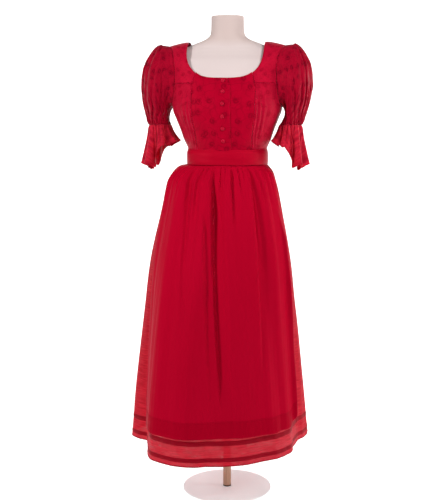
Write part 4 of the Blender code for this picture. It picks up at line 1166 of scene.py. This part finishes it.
apron_degrees = np.linspace(APRON_RIGHT_DEG, APRON_LEFT_DEG, 381)[None, :]
hem_share = np.linspace(0, 0.085, 30)[:-1]
long_share = np.linspace(0.085, 0.88, 62)[:-1]
apron_share = np.concatenate([hem_share, long_share, np.linspace(0.88, 1, 36)])[:, None]
apron_grid = turned_in(apron_points(apron_degrees, apron_share), ("left", "right", "low"), 0.0006, 0.004)
piece = cloth("apron_panel", apron_grid, silk, thickness=APRON_CLOTH, start=1.0)
stands_for(piece, "apron")

# The apron's band: a doubled straight strip round the waist, pressed flat, with a line of stitching along
# both edges and a fold where it overlaps at the wearer's left of the middle.
BAND_TOP_Z = 1.159
BAND_HEIGHT = BAND_TOP_Z - BAND_BOTTOM_Z
STITCHED_IN = 0.003
BAND_SQUARENESS = 2.3
BAND_HUG = 1.012
BAND_HUG_REACH = 0.005
BAND = table("z half_width half_depth", [
    (BAND_BOTTOM_Z, 0.1312, 0.102), (1.135, 0.131, 0.1014), (BAND_TOP_Z, 0.1304, 0.1005),
])

band_cloth, shader, uv = patterned("band_silk", "UV")
up = parts_of(uv)[1]
threads = noise(uv, (1400.0, 1400.0, 1.0), 2.0)
low_stitches = between(up, STITCHED_IN - 0.0004, STITCHED_IN + 0.0002, 0.0003)
high_stitches = between(BAND_HEIGHT - up, STITCHED_IN - 0.0004, STITCHED_IN + 0.0002, 0.0003)
tone = blend(noise(uv, (22.0, 40.0, 1.0)), (0.38, 0.0004, 0.014), (0.44, 0.002, 0.019))
tone = blend(low_stitches.most(high_stitches) * 0.5, tone, STITCH_RED)
surface(shader, tone, threads * 0.15 + 0.42, threads, 0.0002, 0.5)
red_lustre(shader, 0.22, 0.08)

band_angle = full_turn(240)[None, :]
half_rows = np.array([0, 0.0012, 0.003, 0.006, 0.012, 0.018])
band_up = np.concatenate([half_rows, [0.0245, 0.031, 0.037, 0.043, 0.046, 0.0478, 0.049]])[:, None]
from_middle = band_up - BAND_HEIGHT / 2
crown = 0.0005 * np.cos(from_middle / BAND_HEIGHT * math.pi)
for row_up in (STITCHED_IN, BAND_HEIGHT - STITCHED_IN):
    crown = crown - 0.0005 * bell((band_up - row_up) / 0.001)
soft = 0.0007 * np.sin(3 * band_angle + 1.0 + 260 * band_up) * np.cos(band_angle) ** 2
past = band_angle - 0.42
overlap = 0.0009 / (1 + np.exp(-(past - 1.2 * from_middle) / 0.004)) * held(1 - past / 0.5)
band_width, band_depth = (smooth(BAND, key, BAND_BOTTOM_Z + band_up) for key in ("half_width", "half_depth"))
band_x, band_y = ring(band_width, band_depth, band_depth, BAND_SQUARENESS, band_angle)
bodice_x, bodice_y = ring_of(BODICE, BAND_BOTTOM_Z + band_up, band_angle)
hug = bell((BAND_HEIGHT - band_up) / BAND_HUG_REACH)
band_x = band_x + hug * (bodice_x * BAND_HUG - band_x)
band_y = band_y + hug * (bodice_y * BAND_HUG - band_y)
band_grid = points_at(band_x, band_y, BAND_BOTTOM_Z + band_up)
band_grid = band_grid + outward(band_grid, True) * (crown + soft + overlap)[..., None]
piece = cloth("band", band_grid, band_cloth, True, thickness=APRON_CLOTH)
stands_for(piece, "waistband")

# The band's ends are tied behind in a plain bow: a knot round the pinched middle of two loops, and two
# tails that lie on the gathers of the back.
BOW_Z = 1.142
BOW_Y = 0.1099
BOW_REACH = 0.074

loop_turn = full_turn(144)[None, :]
loop_up = np.linspace(-1, 1, 21)[:, None]
reach = np.abs(np.cos(loop_turn))
loop_width = 0.0065 + 0.015 * np.minimum(reach * 1.6, 1)
loop_crease = 0.0012 * np.cos(loop_up * 7 + 2 * np.sign(np.cos(loop_turn))) * held(1 - reach)
loop_crease = loop_crease + 0.001 * np.cos(loop_up * 4.2 + 1) * reach
loop_y = BOW_Y + np.sin(loop_turn) * (0.0018 + 0.015 * reach + loop_crease)
loops = points_at(BOW_REACH * np.cos(loop_turn), loop_y, BOW_Z - 0.005 * reach + loop_up * loop_width)
piece = cloth("bow_two_loops", loops, band_cloth, True, thickness=0.0008)
stands_for(piece, "bow_loops")

knot_round = full_turn(72)[None, :]
knot_across = np.linspace(-1, 1, 17)[:, None]
bulge = 0.0018 * (1 - knot_across**2) + 0.0004 * np.cos(knot_across * 9 + np.sin(knot_round))
knot_y = BOW_Y - (0.0068 + bulge) * np.cos(knot_round)
knot = points_at(0.0085 * knot_across, knot_y, BOW_Z + (0.0142 + bulge) * np.sin(knot_round))
piece = cloth("bow_tied_knot", knot, band_cloth, True, -1, thickness=0.001)
stands_for(piece, "bow_knot")


def skirt_back_y(x, z):
    """How far back the skirt reaches at each x and height: rays near the middle, read across."""
    degrees = np.linspace(120, 240, 241)[None, :]
    grid = skirt_grid(degrees, z[:, None], 0.003)
    order = grid[..., 0].argsort(axis=1)
    xs = np.take_along_axis(grid[..., 0], order, 1)
    ys = np.take_along_axis(grid[..., 1], order, 1)
    return np.array([np.interp(x[i], xs[i], ys[i]) for i in range(len(z))])


for side, hand in HANDS:
    tail_z = np.concatenate([np.linspace(0.79, 1.06, 40)[:-1], np.linspace(1.06, 1.126, 26)])
    fall = ((tail_z[-1] - tail_z) / (tail_z[-1] - tail_z[0]))[:, None]
    spread = np.linspace(-1, 1, 21)[None, :]
    tail_x = hand * (0.0065 + 0.042 * fall) + (0.005 + 0.017 * held(2.5 * fall)) * spread
    hang = skirt_back_y(tail_x, tail_z) + 0.005 + 0.0012 * np.cos(spread * 5 + 2 * fall) * held(6 * fall)
    tail_y = np.maximum(hang, BOW_Y + 0.004 * held(12 * fall))
    tail = points_at(tail_x, tail_y, tail_z[:, None] + 0.006 * hand * spread * fall)
    piece = cloth("bow_tail_long_" + side, tail, band_cloth, False, -1, thickness=0.0008)
    stands_for(piece, "bow_tail_" + side)
